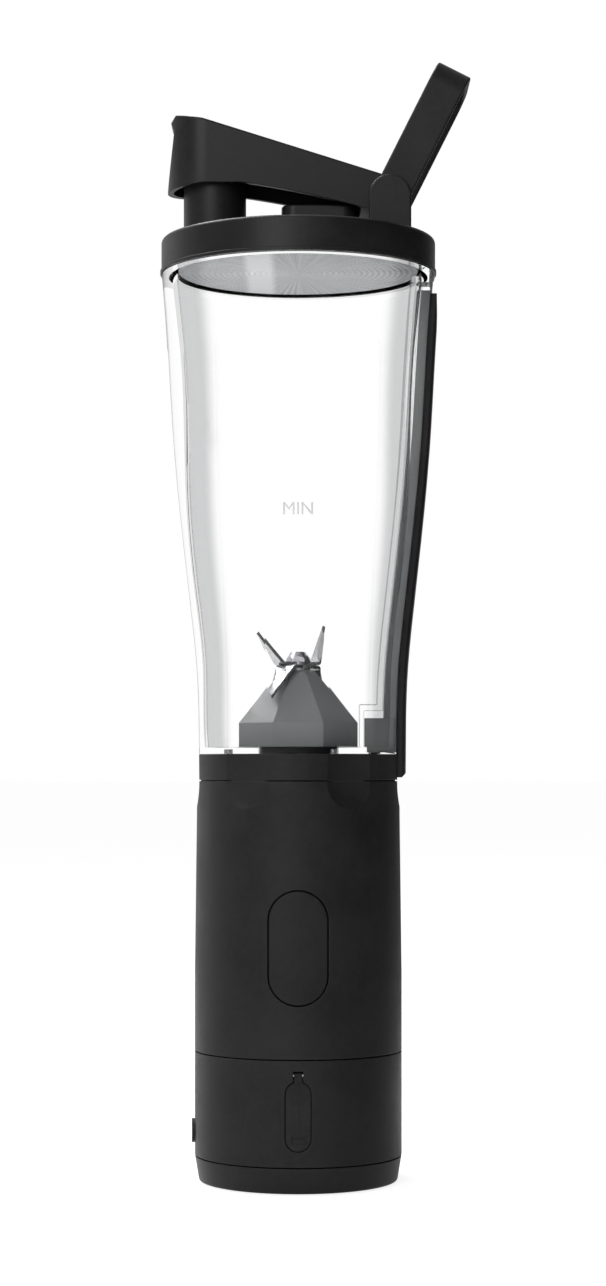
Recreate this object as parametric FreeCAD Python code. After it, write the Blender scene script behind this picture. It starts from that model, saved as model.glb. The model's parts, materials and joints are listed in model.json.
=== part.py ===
"""Cordless bottle blender: battery base, clear fluted cup and spout lid.

Frame: +Z up, origin at the centre of the foot's resting plane, front towards -Y.
The guard rail of the cup lies on +X and the drinking spout on -X.
"""
import FreeCAD, Part
import math
import os

V = FreeCAD.Vector
X_AXIS = V(1, 0, 0)
Y_AXIS = V(0, 1, 0)
Z_AXIS = V(0, 0, 1)
ORIGIN = V(0, 0, 0)

# ---------------------------------------------------------------- fits
GAP = 0.3               # between pieces that move past each other
RUN = 0.05              # radial play of a shaft or pin in its bore
SEAT = 0.1              # play between pieces that are assembled together
SEAM = 0.4              # visible parting line between housings
OVERLAP = 0.2           # how far joined volumes reach into each other
PAST = 1.0              # how far a cutter runs past the face it opens

# ---------------------------------------------------------------- overall
BASE_R = 31.0           # radius of the lower half of the base
LID_R = 41.0            # radius of the lid
WALL = 2.4              # wall of the housings
INNER_R = BASE_R - WALL
TRIM = 100.0            # half the width of the boxes that trim a shape

# ---------------------------------------------------------------- battery and motor
FOOT_Z = 0.4            # underside of the foot cap
CELL_R = 9.2
CELL_H = 65.2
CELL_PITCH = 19.4
CELL_EDGE_R = 0.9
CELL_BUTTON_R = 2.8     # raised terminal
CELL_BUTTON_H = 1.4
LINK_T = 0.3            # nickel strip
LINK_HALF_W = 3.0
CARRIER_T = 1.2
CARRIER_FLOOR_T = 3.4
CARRIER_BAND_H = 8.0
CARRIER_POST_W = 3.2
CARRIER_POST_HALF = 4.0
CARRIER_NECK = 5.5      # half the depth of the carrier between the cells
CARRIER_SPINE_HALF = 2.4
CELL_Z = FOOT_Z + WALL + CARRIER_FLOOR_T + LINK_T
MOTOR_R = BASE_R - 16.0
MOTOR_H = 29.0
MOTOR_ROOM = 3.7        # between the cells and the motor
MOTOR_TOP = CELL_Z + CELL_H + MOTOR_ROOM + MOTOR_H
CAN_WALL = 1.2
CAN_FACE_T = 2.0
CAN_EDGE_R = 1.6
END_CAP_H = 2.6
MAGNET_T = 2.2
MAGNET_HALF_DEG = 62.0
ARMATURE_GAP = 0.5
ARMATURE_H = 17.0
ARMATURE_POLES = 3
SLOT_HALF_W = 0.9
COMMUTATOR_R = 3.0
COMMUTATOR_H = 2.6
BOSS_R = 5.0
BOSS_H = 2.0
MOTOR_SHAFT_R = 1.6
SHAFT_FLAT = 0.35       # depth of the flat under the coupling
MOTOR_SCREW_PITCH = 19.0
MOTOR_SCREW_BITE = 3.0
SCREW_R = 1.05
SCREW_HEAD_R = 2.1
SCREW_HEAD_H = 1.4
BRACKET_T = 3.0
BRACKET_SKIRT_T = 1.9
BRACKET_SKIRT_H = 7.0

# ---------------------------------------------------------------- base housing
FOOT_R = BASE_R - 1.3   # radius of the foot at the table
NECK_R = BASE_R - 0.6   # radius of the base under the cup
BRACKET_R = NECK_R - WALL - 4 * SEAT
LIP_T = 1.2             # lips that locate the housings in each other
LIP_RISE = 2.0
FOOT_EDGE_R = 0.8       # rounding of the foot's lower edge
FOOT_TOP = 8.3          # seam above the foot cap
LOWER_TOP = 39.5        # seam between lower and upper housing
FOOT_BOSS_R = 4.4       # screw posts of the foot
FOOT_BOSS_H = 12.0      # their height above the seam
FOOT_SCREW_PCR = INNER_R - 4.0
FOOT_SCREW_ANGLES = (90.0, 210.0, 330.0)
FOOT_SCREW_LEN = 8.0
PAD_R = FOOT_SCREW_PCR - 3.8    # rubber foot disc
PAD_T = 1.0
NIB_R = 3.6             # small raised pad low on the left flank
NIB_Z = 15.1
NIB_PROUD = 0.9
SHELL_TAPER_Z = 62.6    # height where the upper housing starts to taper
WELL_FLOOR_T = 2.5
WELL_FLOOR = MOTOR_TOP + BRACKET_T + 2 * SEAT + WELL_FLOOR_T
WELL_DEPTH = 9.7
SHELL_TOP = WELL_FLOOR + WELL_DEPTH     # seam under the cup's collar
RIM_T = 2.3             # thickness of the upper housing's top rim
SPIGOT_R = NECK_R - 3.8     # outside of the locating ring
SPIGOT_WALL = 3.8
SPIGOT_TOP = SHELL_TOP + 5.4
BRACKET_SCREW_PCR = SPIGOT_R - SPIGOT_WALL / 2
BRACKET_SCREW_ANGLES = (90.0, 210.0, 330.0)
BRACKET_SCREW_BITE = 5.5
LUG_R = SPIGOT_R + 1.5
LUG_HALF_DEG = 5.0
LUG_Z = SHELL_TOP + 1.6
LUG_T = 2.0
LUG_ANGLES = (30.0, 150.0, 270.0)
LUG_PLAY_DEG = 1.2
LOCK_TURN_DEG = 18.0

# ---------------------------------------------------------------- power button
BUTTON_W = 17.8
BUTTON_H = 33.8
BUTTON_Z = LOWER_TOP + 32.1
BUTTON_GAP = 0.4
BUTTON_TRAVEL = 0.8
BUTTON_LIP = 1.2        # how far the lip reaches past the opening
BUTTON_LIP_T = 0.9
BUTTON_EDGE_R = 0.35    # rounding of the key's visible edge
BUTTON_REACH = 8.0      # depth that the key, its lip and its gasket keep within
SEAL_T = 0.5            # gasket behind the opening
SWITCH_SIDE = 6.0
SWITCH_H = 3.6
SWITCH_TIP = 1.0        # how far its plunger stands out
SWITCH_TIP_R = 1.6
STEM_R = 2.4

# ---------------------------------------------------------------- boards and charging
BOARD_T = 1.6
BOARD_W = 29.0
BOARD_H = 44.0
BOARD_Y = -INNER_R + 9.2    # back face of the main board
GUIDE_GRIP = 1.0        # depth of the grooves that hold a board's edges
GUIDE_WALL = 1.2
PORT_Z = FOOT_TOP + 14.7
PORT_W = 7.2            # charge port cover
PORT_H = 20.0
COVER_T = 1.6
COVER_GAP = 0.3
TAB_W = 2.4
TAB_ROOM = 0.4          # above the knuckle, for the tab when it is open
HINGE_RISE = 1.9        # cover hinge above the cover's top edge
COVER_KNUCKLE_R = 0.8
COVER_PIN_R = 0.4
COVER_PIN_LEN = TAB_W + 2.4
NICK_R = 1.6            # finger nick at the cover's lower end
SOCKET_W = 3.2
SOCKET_H = 9.0
SOCKET_DEPTH = 7.0
SOCKET_Y = -BASE_R + 2.8    # mouth of the socket
SOCKET_WALL = 0.4
TONGUE_HALF_T = 0.35
TONGUE_HALF_H = 3.3
CHARGE_BOARD_W = 16.0
CHARGE_BOARD_H = 24.0
WEB_T = 3.0             # webs that carry the charge board's guides

# ---------------------------------------------------------------- guard switch and plunger
GUARD_SWITCH_W = 5.8
GUARD_SWITCH_L = 12.8
GUARD_SWITCH_H = 6.5
GUARD_SWITCH_DROP = 3.7     # between the switch and the bracket
GUARD_SWITCH_Z = MOTOR_TOP - GUARD_SWITCH_DROP - GUARD_SWITCH_H
GUARD_TIP_R = 0.9
GUARD_TIP_H = 1.5
GUARD_LEG_PITCH = 4.6
HANGER_T = 1.5
HANGER_HOOK = 0.7
PLUNGER_X = SPIGOT_R - 4.3
PLUNGER_R = 1.5
PLUNGER_GUIDE_T = 1.7

# ---------------------------------------------------------------- drive coupling
COUPLING_R = 9.0
COUPLING_HUB_R = 4.6
COUPLING_LUGS = 4
COUPLING_LUG_DEG = 20.0
DRIVE_Z = WELL_FLOOR + 1.0  # underside of the driving half
COUPLING_PLATE = 2.6
COUPLING_LUG_H = 4.6
MESH_GAP = 0.6          # axial gap between lug tips and the facing plate

# ---------------------------------------------------------------- cup
CUP_LOW_R = NECK_R - SEAT
CUP_TOP_R = LID_R - SEAT
# outside of the cup: share of the growth in radius, and height above the base
CUP_SWELL = ((0.0, 0.0), (0.010, 14.8), (0.050, 30.8), (0.222, 50.8),
             (0.505, 78.3), (0.700, 102.3), (0.845, 129.3), (1.0, 151.2))
CUP_FLANK = tuple((CUP_LOW_R + share * (CUP_TOP_R - CUP_LOW_R), SHELL_TOP + rise)
                  for share, rise in CUP_SWELL)
# wall of the cup, and height above the base, from the floor to the taper under the rim
CUP_WALL = ((3.24, 10.1), (2.99, 17.8), (3.43, 33.8), (3.27, 56.8),
            (3.57, 82.8), (5.04, 113.8), (5.07, 128.8))
SHOULDER_Z = CUP_FLANK[-1][1]
BORE_TOP_Z = SHOULDER_Z - 2.5   # where the bore reaches the rim's width
NECK_TOP = SHOULDER_Z + 8.0
LID_SKIRT_T = 2.6
LID_BORE_R = LID_R - LID_SKIRT_T
THREAD_R = LID_BORE_R - 0.35
NECK_OUT_R = THREAD_R - 0.55
RIM_BORE_R = NECK_OUT_R - 1.2
THREAD_T = 1.2
THREAD_Z = (SHOULDER_Z + 2.0, SHOULDER_Z + 5.2)
THREAD_MIDDLES = (90.0, 180.0, 270.0)
THREAD_ARC_DEG = 64.0
COLLAR_TOP = SHELL_TOP + 8.0
COLLAR_PLATE_T = 1.8
COLLAR_BORE_R = SPIGOT_R + 0.4
COLLAR_LINE_DEPTH = 0.8     # depth of the parting line between collar and base
COLLAR_SCREW_PCR = SPIGOT_R - 6.2
COLLAR_SCREW_ANGLES = (60.0, 180.0, 300.0)
COLLAR_SCREW_BITE = 1.4     # how far the collar's screws go into the cup's floor
CUP_FLOOR = COLLAR_TOP + SEAT   # underside of the cup
CUP_FLOOR_T = 2.0
FLUTES = 6
FLUTE_AXIS_X = NECK_R + 30.2    # upright axis that each flute's hollow is turned about
FLUTE_END_R = 16.0      # rounding of a flute's two ends
FLUTE_DEPTH_LOW = 1.7
FLUTE_DEPTH_TOP = 1.1
FLUTE_LOW_Z = SHELL_TOP - 0.6   # centre of the flute's rounded lower end
FLUTE_TOP_Z = SHOULDER_Z - 27.4

# ---------------------------------------------------------------- guard rail and interlock rod
RAIL_W = 13.0
RAIL_PROUD = 1.9        # how far the rail stands out of the cup
RAIL_T = 3.4
RAIL_LOW_Z = SHELL_TOP + 1.1
RAIL_TOP_Z = SHOULDER_Z - 6.0
RAIL_CHAMFER = 2.4
RAIL_EDGE_R = 0.9
RAIL_TIP_DROP = 1.1     # how far the rail's face falls back at its upper end
RAIL_TIP_RUN = 12.0
ROD_W = 7.2
ROD_T = 3.0
ROD_TRAVEL = 2.0
CHANNEL_WALL = 1.8
ROD_HEAD_Z = SHOULDER_Z - 4.6
ROD_NUB_X = NECK_OUT_R + 0.95   # inner face of the nub that reaches up to the lid
ROD_NUB_T = 1.15
ROD_NUB_STEP = 1.1      # height of the step that carries the nub
CHANNEL_TOP = SHOULDER_Z - 2.2  # roof of the rod's channel
BULGE_TOP = SHOULDER_Z - 0.8    # top of the wall round the channel
FOOT_BLOCK_X = PLUNGER_X - 2.0
FOOT_BLOCK_W = 8.4
FOOT_BLOCK_LOW = CUP_FLOOR + 0.5
FOOT_BLOCK_TOP = FOOT_BLOCK_LOW + 10.2
PIN_R = 1.5             # nub under the rod's foot
SPRING_X = PLUNGER_X + 4.0
SPRING_R = 1.5
SPRING_WIRE_R = 0.25
SPRING_TURNS = 6.0
SPRING_TOP = FOOT_BLOCK_LOW + 7.7

# ---------------------------------------------------------------- blade unit
HUB_R = 17.8            # to the middle of a flat
HUB_SHOULDER = CUP_FLOOR + 9.2
HUB_TOP_R = 4.8
HUB_TOP = HUB_SHOULDER + 15.7
HUB_FACETS = 8
HUB_NECK_R = 11.4
HUB_NECK_LOW = CUP_FLOOR - 5.7
NUT_R = COLLAR_SCREW_PCR - SCREW_HEAD_R - 1.9
NUT_T = 3.4
NUT_NOTCHES = 6
GASKET_T = 0.8
GASKET_OUT = 2.0        # gasket groove, measured in from the hub's edge
GASKET_IN = 5.0
BLADE_SHAFT_R = 2.5
BUSH_R = 3.9
BUSH_H = 8.0
LIP_SEAL_H = 3.0
BLADE_T = 1.0
BLADE_Z = HUB_TOP + 0.7
BLADE_ROOT = 6.2        # distance from the axis where an arm bends
# arms of each blade: direction, length, rise in degrees, root width, tip width
LOWER_ARMS = ((235.0, 13.0, -47.0, 7.0, 2.4), (55.0, 9.5, -40.0, 7.0, 2.4))
UPPER_ARMS = ((208.0, 12.3, 49.0, 5.6, 2.6), (28.0, 12.1, 72.0, 5.6, 2.6))
BLADE_NUT_R = 3.6
BLADE_NUT_H = 3.0

# ---------------------------------------------------------------- lid
LID_LOW = SHOULDER_Z + SEAM
LID_TOP = LID_LOW + 10.2
LID_T = 2.2
LID_BEAD = 0.35
LID_BEAD_H = 0.9
LID_FILLET = 1.2
LINER_R = RIM_BORE_R - GAP
LINER_LOW = LID_LOW + 0.4
LINER_T = 1.4
PLUG_R = LINER_R - 0.5
PLUG_WALL = 2.0
LID_SEAL_T = 2.4
LID_SEAL_Z = LID_LOW + 2.4
LID_SEAL_DEPTH = 0.9    # depth of its groove in the plug
SPOUT_X = -LID_R + 16.0
SPOUT_R = 9.35
SPOUT_BORE = 7.3
SPOUT_TOP = LID_TOP + 23.0
SPOUT_FLANGE = 2.0
SPOUT_FLANGE_OUT = 1.6

# ---------------------------------------------------------------- flip cap and carry loop
PIVOT_X = LID_R - 14.0
PIVOT_Z = LID_TOP + 10.3
HINGE_PIN_R = 1.5
EAR_R = 6.2
EAR_T = 3.0
EAR_EDGE_R = 0.5
CAP_HALF_W = 12.0
CAP_WALL = 1.8
CAP_EDGE_R = 0.8        # rounding between the cap's top and sides
CAP_END_X = SPOUT_X - 2.1   # centre of the cap's rounded end
KNUCKLE_R = 6.6
KNUCKLE_UNDER = 1.1     # angle, in radians, where the knuckle meets the lower edge
LOOP_T = 2.1
LOOP_W = 10.6
LOOP_LEN = 43.6
LOOP_LEAN_DEG = 63.3
LOOP_CORNER_R = 7.0
LOOP_EDGE_R = 0.5       # rounding of the strap's edges
CAP_TOP_Z = LID_TOP + 36.0  # highest edge, at the thumb lip
CAP_TOP_X = SPOUT_X - 8.0
CAP_EDGE_Z = LID_TOP + 15.4     # lower edge of the cap beside the spout
CAP_EDGE_DROP = 1.3     # how far it comes down at the rounded end
CAP_EDGE_RUN = 11.0
CAP_EDGE_X = SPOUT_X + 8.0      # where the lower edge starts to fall
CAP_EDGE_BOW = 0.7      # bow of the falling part
CAP_LIP_REACH = 5.0     # run of the thumb lip's back into the top line
HINGE_BLOCK_H = 9.4     # block on the lid between the hinge ears
HINGE_BLOCK_HALF = CAP_HALF_W - CAP_WALL - 3 * GAP
HINGE_BLOCK_X = SPOUT_X + 20.0
HINGE_BLOCK_R = 4.0     # rounding of its upright edges
STOPPER_R = 6.8
STOPPER_TIP_R = 5.6
STOPPER_DEPTH = 3.5
BRIM_T = 1.2            # soft brim that lies on the spout's lip


# ================================================================ helpers
def face_of(points):
    """Flat face from a closed row of points."""
    return Part.Face(Part.makePolygon(list(points) + [points[0]]))


def turned(profile):
    """Solid of revolution about Z from (radius, height) corners."""
    return face_of([V(r, 0, z) for r, z in profile]).revolve(ORIGIN, Z_AXIS, 360)


def tube(outer, inner, low, high):
    """Upright ring."""
    ring = Part.makeCylinder(outer, high - low, V(0, 0, low))
    return ring.cut(Part.makeCylinder(inner, high - low + 2, V(0, 0, low - 1)))


def disc(radius, low, high, x=0.0, y=0.0):
    """Upright cylinder."""
    return Part.makeCylinder(radius, high - low, V(x, y, low))


def block(x0, x1, y0, y1, z0, z1):
    """Box between two corners."""
    return Part.makeBox(x1 - x0, y1 - y0, z1 - z0, V(x0, y0, z0))


def slab(low, high):
    """Wide flat box used to trim a shape to a height range."""
    return block(-TRIM, TRIM, -TRIM, TRIM, low, high)


def joined(shapes):
    """One solid from several that overlap."""
    shapes = list(shapes)
    return shapes[0].fuse(shapes[1:]).removeSplitter()


def around(shape, count, start=0.0):
    """Copies of a shape spaced evenly about Z."""
    return [spun(shape, start + k * 360.0 / count) for k in range(count)]


def spun(shape, angle):
    """Copy of a shape turned about Z."""
    copy = shape.copy()
    copy.rotate(ORIGIN, Z_AXIS, angle)
    return copy


def sector(outer, inner, low, high, half_deg, middle_deg=0.0):
    """Piece of an upright ring, half_deg to each side of middle_deg."""
    wedge = Part.makeCylinder(outer, high - low, V(0, 0, low), Z_AXIS, 2 * half_deg)
    wedge.rotate(ORIGIN, Z_AXIS, middle_deg - half_deg)
    return wedge.cut(disc(inner, low - 1, high + 1))


def stadium(width, height, z, y_front, y_back):
    """Upright stadium prism through the front wall, from y_front to y_back."""
    r = width / 2.0
    low = z - height / 2.0 + r
    high = z + height / 2.0 - r
    arcs = [Part.Arc(V(r, 0, high), V(0, 0, high + r), V(-r, 0, high)).toShape(),
            Part.makeLine(V(-r, 0, high), V(-r, 0, low)),
            Part.Arc(V(-r, 0, low), V(0, 0, low - r), V(r, 0, low)).toShape(),
            Part.makeLine(V(r, 0, low), V(r, 0, high))]
    face = Part.Face(Part.Wire(arcs))
    face.translate(V(0, y_front, 0))
    return face.extrude(V(0, y_back - y_front, 0))


def screw(x, y, low, length, head_up):
    """Pan-head screw with a hex recess; low is its lowest point."""
    if head_up:
        shank = disc(SCREW_R, low, low + length, x, y)
        head = disc(SCREW_HEAD_R, low + length, low + length + SCREW_HEAD_H, x, y)
        recess_low = low + length + SCREW_HEAD_H / 2.0
    else:
        head = disc(SCREW_HEAD_R, low, low + SCREW_HEAD_H, x, y)
        shank = disc(SCREW_R, low + SCREW_HEAD_H, low + SCREW_HEAD_H + length, x, y)
        recess_low = low - SCREW_HEAD_H / 2.0
    corners = [V(x + SCREW_R * math.cos(math.radians(60 * k)),
                 y + SCREW_R * math.sin(math.radians(60 * k)), recess_low) for k in range(6)]
    recess = face_of(corners).extrude(V(0, 0, SCREW_HEAD_H))
    return joined([shank, head]).cut(recess)


def polar(radius, angle_deg):
    """x and y of a point at a radius and direction."""
    a = math.radians(angle_deg)
    return radius * math.cos(a), radius * math.sin(a)


# ================================================================ base
def housing_body(low, high, inset=0.0):
    """Solid of the base's outside between two seams, inset from the surface."""
    outside = turned([(0, FOOT_Z), (FOOT_R - inset, FOOT_Z),
                      (BASE_R - inset, FOOT_TOP), (BASE_R - inset, SHELL_TAPER_Z),
                      (NECK_R - inset, WELL_FLOOR), (CUP_FLANK[0][0] - inset, SHELL_TOP),
                      (0, SHELL_TOP)])
    return outside.common(slab(low, high))


def make_foot_pad():
    """Rubber disc that the blender stands on."""
    return disc(PAD_R, 0.0, PAD_T)


def foot_floor():
    """Inside floor of the foot cap."""
    return FOOT_Z + WALL


def foot_screw_places():
    return [polar(FOOT_SCREW_PCR, a) for a in FOOT_SCREW_ANGLES]


def make_foot_cap():
    """Foot with a locating lip, the pad's recess and three screw holes."""
    body = housing_body(FOOT_Z, FOOT_TOP - SEAM)
    body = body.makeFillet(FOOT_EDGE_R, [e for e in body.Edges if e.BoundBox.ZMax < FOOT_Z + 0.01])
    body = body.cut(disc(INNER_R, foot_floor(), FOOT_TOP))
    body = body.cut(disc(PAD_R + SEAT, 0.0, PAD_T))
    lip = tube(INNER_R, INNER_R - LIP_T, foot_floor() - OVERLAP, FOOT_TOP + LIP_RISE)
    body = joined([body, lip])
    for x, y in foot_screw_places():
        body = body.cut(disc(SCREW_R + SEAT, 0, FOOT_TOP, x, y))
        body = body.cut(disc(SCREW_HEAD_R + SEAT, 0, FOOT_Z + SCREW_HEAD_H, x, y))
    return body


def make_foot_screws():
    return Part.makeCompound([screw(x, y, FOOT_Z, FOOT_SCREW_LEN, False)
                              for x, y in foot_screw_places()])


def foot_bosses():
    """Screw posts that stand on the foot's floor and grow out of the lower wall."""
    lip_room = tube(INNER_R + SEAT, INNER_R - LIP_T - SEAT, 0, FOOT_TOP + LIP_RISE + SEAT)
    below = tube(BASE_R, INNER_R - LIP_T - SEAT, 0, FOOT_TOP)
    posts = []
    for x, y in foot_screw_places():
        post = disc(FOOT_BOSS_R, foot_floor(), FOOT_TOP + FOOT_BOSS_H, x, y)
        post = post.common(disc(INNER_R + OVERLAP, 0, LOWER_TOP)).cut(lip_room).cut(below)
        hole = disc(SCREW_R, 0, FOOT_Z + SCREW_HEAD_H + FOOT_SCREW_LEN + SEAT, x, y)
        posts.append(post.cut(hole))
    return posts


def board_guides(half_w, y_back, thick, low, high, reach):
    """Two grooved posts that grow out of a wall and hold a board by its edges."""
    inner = half_w - GUIDE_GRIP
    posts = []
    for side in (-1, 1):
        x0, x1 = sorted((side * inner, side * reach))
        post = block(x0, x1, y_back - thick - GUIDE_WALL, y_back + GUIDE_WALL, low, high)
        g0, g1 = sorted((side * (inner - 1), side * (half_w + SEAT)))
        posts.append(post.cut(block(g0, g1, y_back - thick, y_back, low - 1, high + 1)))
    return posts


def make_lower_shell():
    """Lower housing: screw posts, top lip, board guides and the charge port's pocket."""
    body = housing_body(FOOT_TOP, LOWER_TOP - SEAM)
    body = body.cut(disc(INNER_R, FOOT_TOP - 1, LOWER_TOP))
    lip = tube(INNER_R, INNER_R - LIP_T, LOWER_TOP - 3 * LIP_RISE, LOWER_TOP + LIP_RISE)
    root = tube(INNER_R + OVERLAP, INNER_R - LIP_T, LOWER_TOP - 3 * LIP_RISE, LOWER_TOP - LIP_RISE)
    low = FOOT_TOP + LIP_RISE + GAP
    high = PORT_Z + CHARGE_BOARD_H / 2 - 1.0
    guides = board_guides(CHARGE_BOARD_W / 2, charge_board_y() + BOARD_T, BOARD_T,
                          low, high, CHARGE_BOARD_W / 2 + WEB_T)
    webs = [block(x0, x0 + WEB_T, -INNER_R, charge_board_y(), low, high)
            for x0 in (-CHARGE_BOARD_W / 2 - WEB_T, CHARGE_BOARD_W / 2)]
    webs = [web.common(disc(INNER_R + OVERLAP, 0, LOWER_TOP)) for web in webs]
    body = joined([body, lip, root, side_nib()] + foot_bosses() + guides + webs)
    return body.cut(port_recess())


def side_nib():
    """Small raised pad low on the left flank."""
    pad = Part.makeCylinder(NIB_R, BASE_R, V(-BASE_R - NIB_PROUD - PAST, 0, NIB_Z), X_AXIS)
    return pad.common(tube(BASE_R + NIB_PROUD, BASE_R - 3 * OVERLAP, FOOT_TOP + 0.5, NIB_Z + NIB_R))


def port_recess():
    """Pocket, tether slot and socket hole in the front wall."""
    front = -BASE_R - 2.0
    back = -BASE_R + COVER_T + COVER_GAP
    pocket = stadium(PORT_W + 2 * COVER_GAP, PORT_H + 2 * COVER_GAP, PORT_Z, front, back)
    pivot = cover_pivot()
    half = TAB_W / 2 + COVER_GAP
    tab = block(-half, half, front, back, PORT_Z, pivot.z + COVER_KNUCKLE_R + TAB_ROOM)
    bore_len = COVER_PIN_LEN + 2 * GAP
    pin_hole = Part.makeCylinder(COVER_PIN_R, bore_len, pivot - V(bore_len / 2, 0, 0), X_AXIS)
    hole = stadium(SOCKET_W + 1.6, SOCKET_H + 2.0, PORT_Z, front, -BASE_R + 2 * WALL)
    return pocket.fuse([tab, pin_hole, hole])


def cover_pivot():
    """Middle of the cover's hinge pin."""
    return V(0, -BASE_R + COVER_KNUCKLE_R + RUN, PORT_Z + PORT_H / 2.0 + HINGE_RISE)


def make_port_cover():
    """Oval cover with a shallow plug, a finger nick and a tab round the pin."""
    front = -BASE_R - PAST
    back = -BASE_R + COVER_T
    plate = stadium(PORT_W, PORT_H, PORT_Z, front, back)
    pivot = cover_pivot()
    tab = block(-TAB_W / 2, TAB_W / 2, front, back, PORT_Z + PORT_H / 2 - 1.0, pivot.z)
    knuckle = Part.makeCylinder(COVER_KNUCKLE_R, TAB_W, pivot - V(TAB_W / 2, 0, 0), X_AXIS)
    skin = joined([plate, tab]).common(disc(BASE_R, 0, LOWER_TOP))
    plug_w = SOCKET_W - 2 * SOCKET_WALL - 2 * GAP
    plug = stadium(plug_w, SOCKET_H - 3.0, PORT_Z - 0.6, back - 0.3, SOCKET_Y + 0.6)
    body = joined([skin, knuckle, plug])
    pin_hole = Part.makeCylinder(COVER_PIN_R + RUN, COVER_PIN_LEN,
                                 pivot - V(COVER_PIN_LEN / 2, 0, 0), X_AXIS)
    nick_x = PORT_W / 2 - NICK_R
    nick = Part.makeCylinder(NICK_R, 2 * nick_x,
                             V(-nick_x, -BASE_R - 1.1, PORT_Z - PORT_H / 2 + 3.0), X_AXIS)
    return body.cut(pin_hole).cut(nick)


def make_port_pin():
    """Thin pin between the pocket's sides."""
    start = cover_pivot() - V(COVER_PIN_LEN / 2, 0, 0)
    return Part.makeCylinder(COVER_PIN_R, COVER_PIN_LEN, start, X_AXIS)


def make_usb_socket():
    """Metal shell of the charge socket with its tongue."""
    outer = stadium(SOCKET_W, SOCKET_H, PORT_Z, SOCKET_Y, charge_board_y())
    inner = stadium(SOCKET_W - 2 * SOCKET_WALL, SOCKET_H - 2 * SOCKET_WALL, PORT_Z,
                    SOCKET_Y - 1, charge_board_y() - 1.0)
    tongue = block(-TONGUE_HALF_T, TONGUE_HALF_T, SOCKET_Y + 1.5, charge_board_y() - 0.5,
                   PORT_Z - TONGUE_HALF_H, PORT_Z + TONGUE_HALF_H)
    return joined([outer.cut(inner), tongue])


def charge_board_y():
    """Front face of the charge board."""
    return SOCKET_Y + SOCKET_DEPTH


def make_charge_board():
    """Board behind the socket with its controller and a coil."""
    y0 = charge_board_y()
    board = block(-CHARGE_BOARD_W / 2, CHARGE_BOARD_W / 2, y0, y0 + BOARD_T,
                  PORT_Z - CHARGE_BOARD_H / 2, PORT_Z + CHARGE_BOARD_H / 2)
    chip = block(3.4, 7.0, y0 - 1.0, y0, PORT_Z - 9.0, PORT_Z - 4.0)
    coil = Part.makeCylinder(2.2, 2.4, V(-4.4, y0 - 2.4, PORT_Z + 7.0), Y_AXIS)
    return joined([board, chip, coil])


def inner_form(shrink):
    """Inside space of the upper housing, shrunk by a wall thickness."""
    high = WELL_FLOOR - WELL_FLOOR_T
    return turned([(0, LOWER_TOP - 1), (INNER_R - shrink, LOWER_TOP - 1),
                   (INNER_R - shrink, SHELL_TAPER_Z), (NECK_R - WALL - shrink, high), (0, high)])


def locating_ring():
    """Ring that stands up into the cup's collar, with its lugs and the plunger's guide."""
    ring = tube(SPIGOT_R, SPIGOT_R - SPIGOT_WALL, WELL_FLOOR - 1, SPIGOT_TOP)
    lugs = [sector(LUG_R, SPIGOT_R - 1, LUG_Z, LUG_Z + LUG_T, LUG_HALF_DEG, a) for a in LUG_ANGLES]
    guide = disc(PLUNGER_R + PLUNGER_GUIDE_T, WELL_FLOOR - 1, SPIGOT_TOP, PLUNGER_X)
    return [ring, guide.common(disc(SPIGOT_R, 0, SPIGOT_TOP))] + lugs


def make_base_shell():
    """Upper housing with the top rim, the coupling well and the locating ring."""
    shell = housing_body(LOWER_TOP, SHELL_TOP).cut(inner_form(0.0))
    moat = tube(NECK_R - WALL, SPIGOT_R, WELL_FLOOR, SHELL_TOP - RIM_T)
    rim_gap = tube(COLLAR_BORE_R + 2 * SEAT, SPIGOT_R, SHELL_TOP - RIM_T - PAST, SHELL_TOP + PAST)
    well = disc(SPIGOT_R - SPIGOT_WALL, WELL_FLOOR, SHELL_TOP + 1)
    shell = shell.cut(moat).cut(rim_gap).cut(well)
    guides = board_guides(BOARD_W / 2, BOARD_Y, BOARD_T, BUTTON_Z - BOARD_H / 2 + 1.0,
                          BUTTON_Z + BOARD_H / 2 - 1.0, BASE_R)
    guides = [guide.common(inner_form(-OVERLAP)) for guide in guides]
    shell = joined([shell] + locating_ring() + guides)
    shell = shell.cut(disc(PLUNGER_R + RUN, WELL_FLOOR - 5, SPIGOT_TOP + 1, PLUNGER_X))
    shell = shell.cut(disc(BOSS_R + 0.6, WELL_FLOOR - 5, WELL_FLOOR + 1))
    for x, y in bracket_screw_places():
        shell = shell.cut(disc(SCREW_R, WELL_FLOOR - 5, MOTOR_TOP + BRACKET_T + BRACKET_SCREW_BITE + 1.7,
                               x, y))
    shell = shell.cut(tube(INNER_R + SEAT, INNER_R - LIP_T - SEAT, LOWER_TOP - 1,
                           LOWER_TOP + LIP_RISE + SEAT))
    for cutter in around(flute_cutter(), FLUTES):
        shell = shell.cut(cutter)
    opening = stadium(BUTTON_W, BUTTON_H, BUTTON_Z, -BASE_R - 2, -BASE_R + 2 * WALL)
    return shell.cut(opening)


def bracket_screw_places():
    return [polar(BRACKET_SCREW_PCR, a) for a in BRACKET_SCREW_ANGLES]


# ================================================================ button
def key_form(grow, y_back):
    """Oval prism of the key, grown all round by grow."""
    width = BUTTON_W - 2 * BUTTON_GAP + 2 * grow
    height = BUTTON_H - 2 * BUTTON_GAP + 2 * grow
    return stadium(width, height, BUTTON_Z, -BASE_R - 1, y_back)


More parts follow.
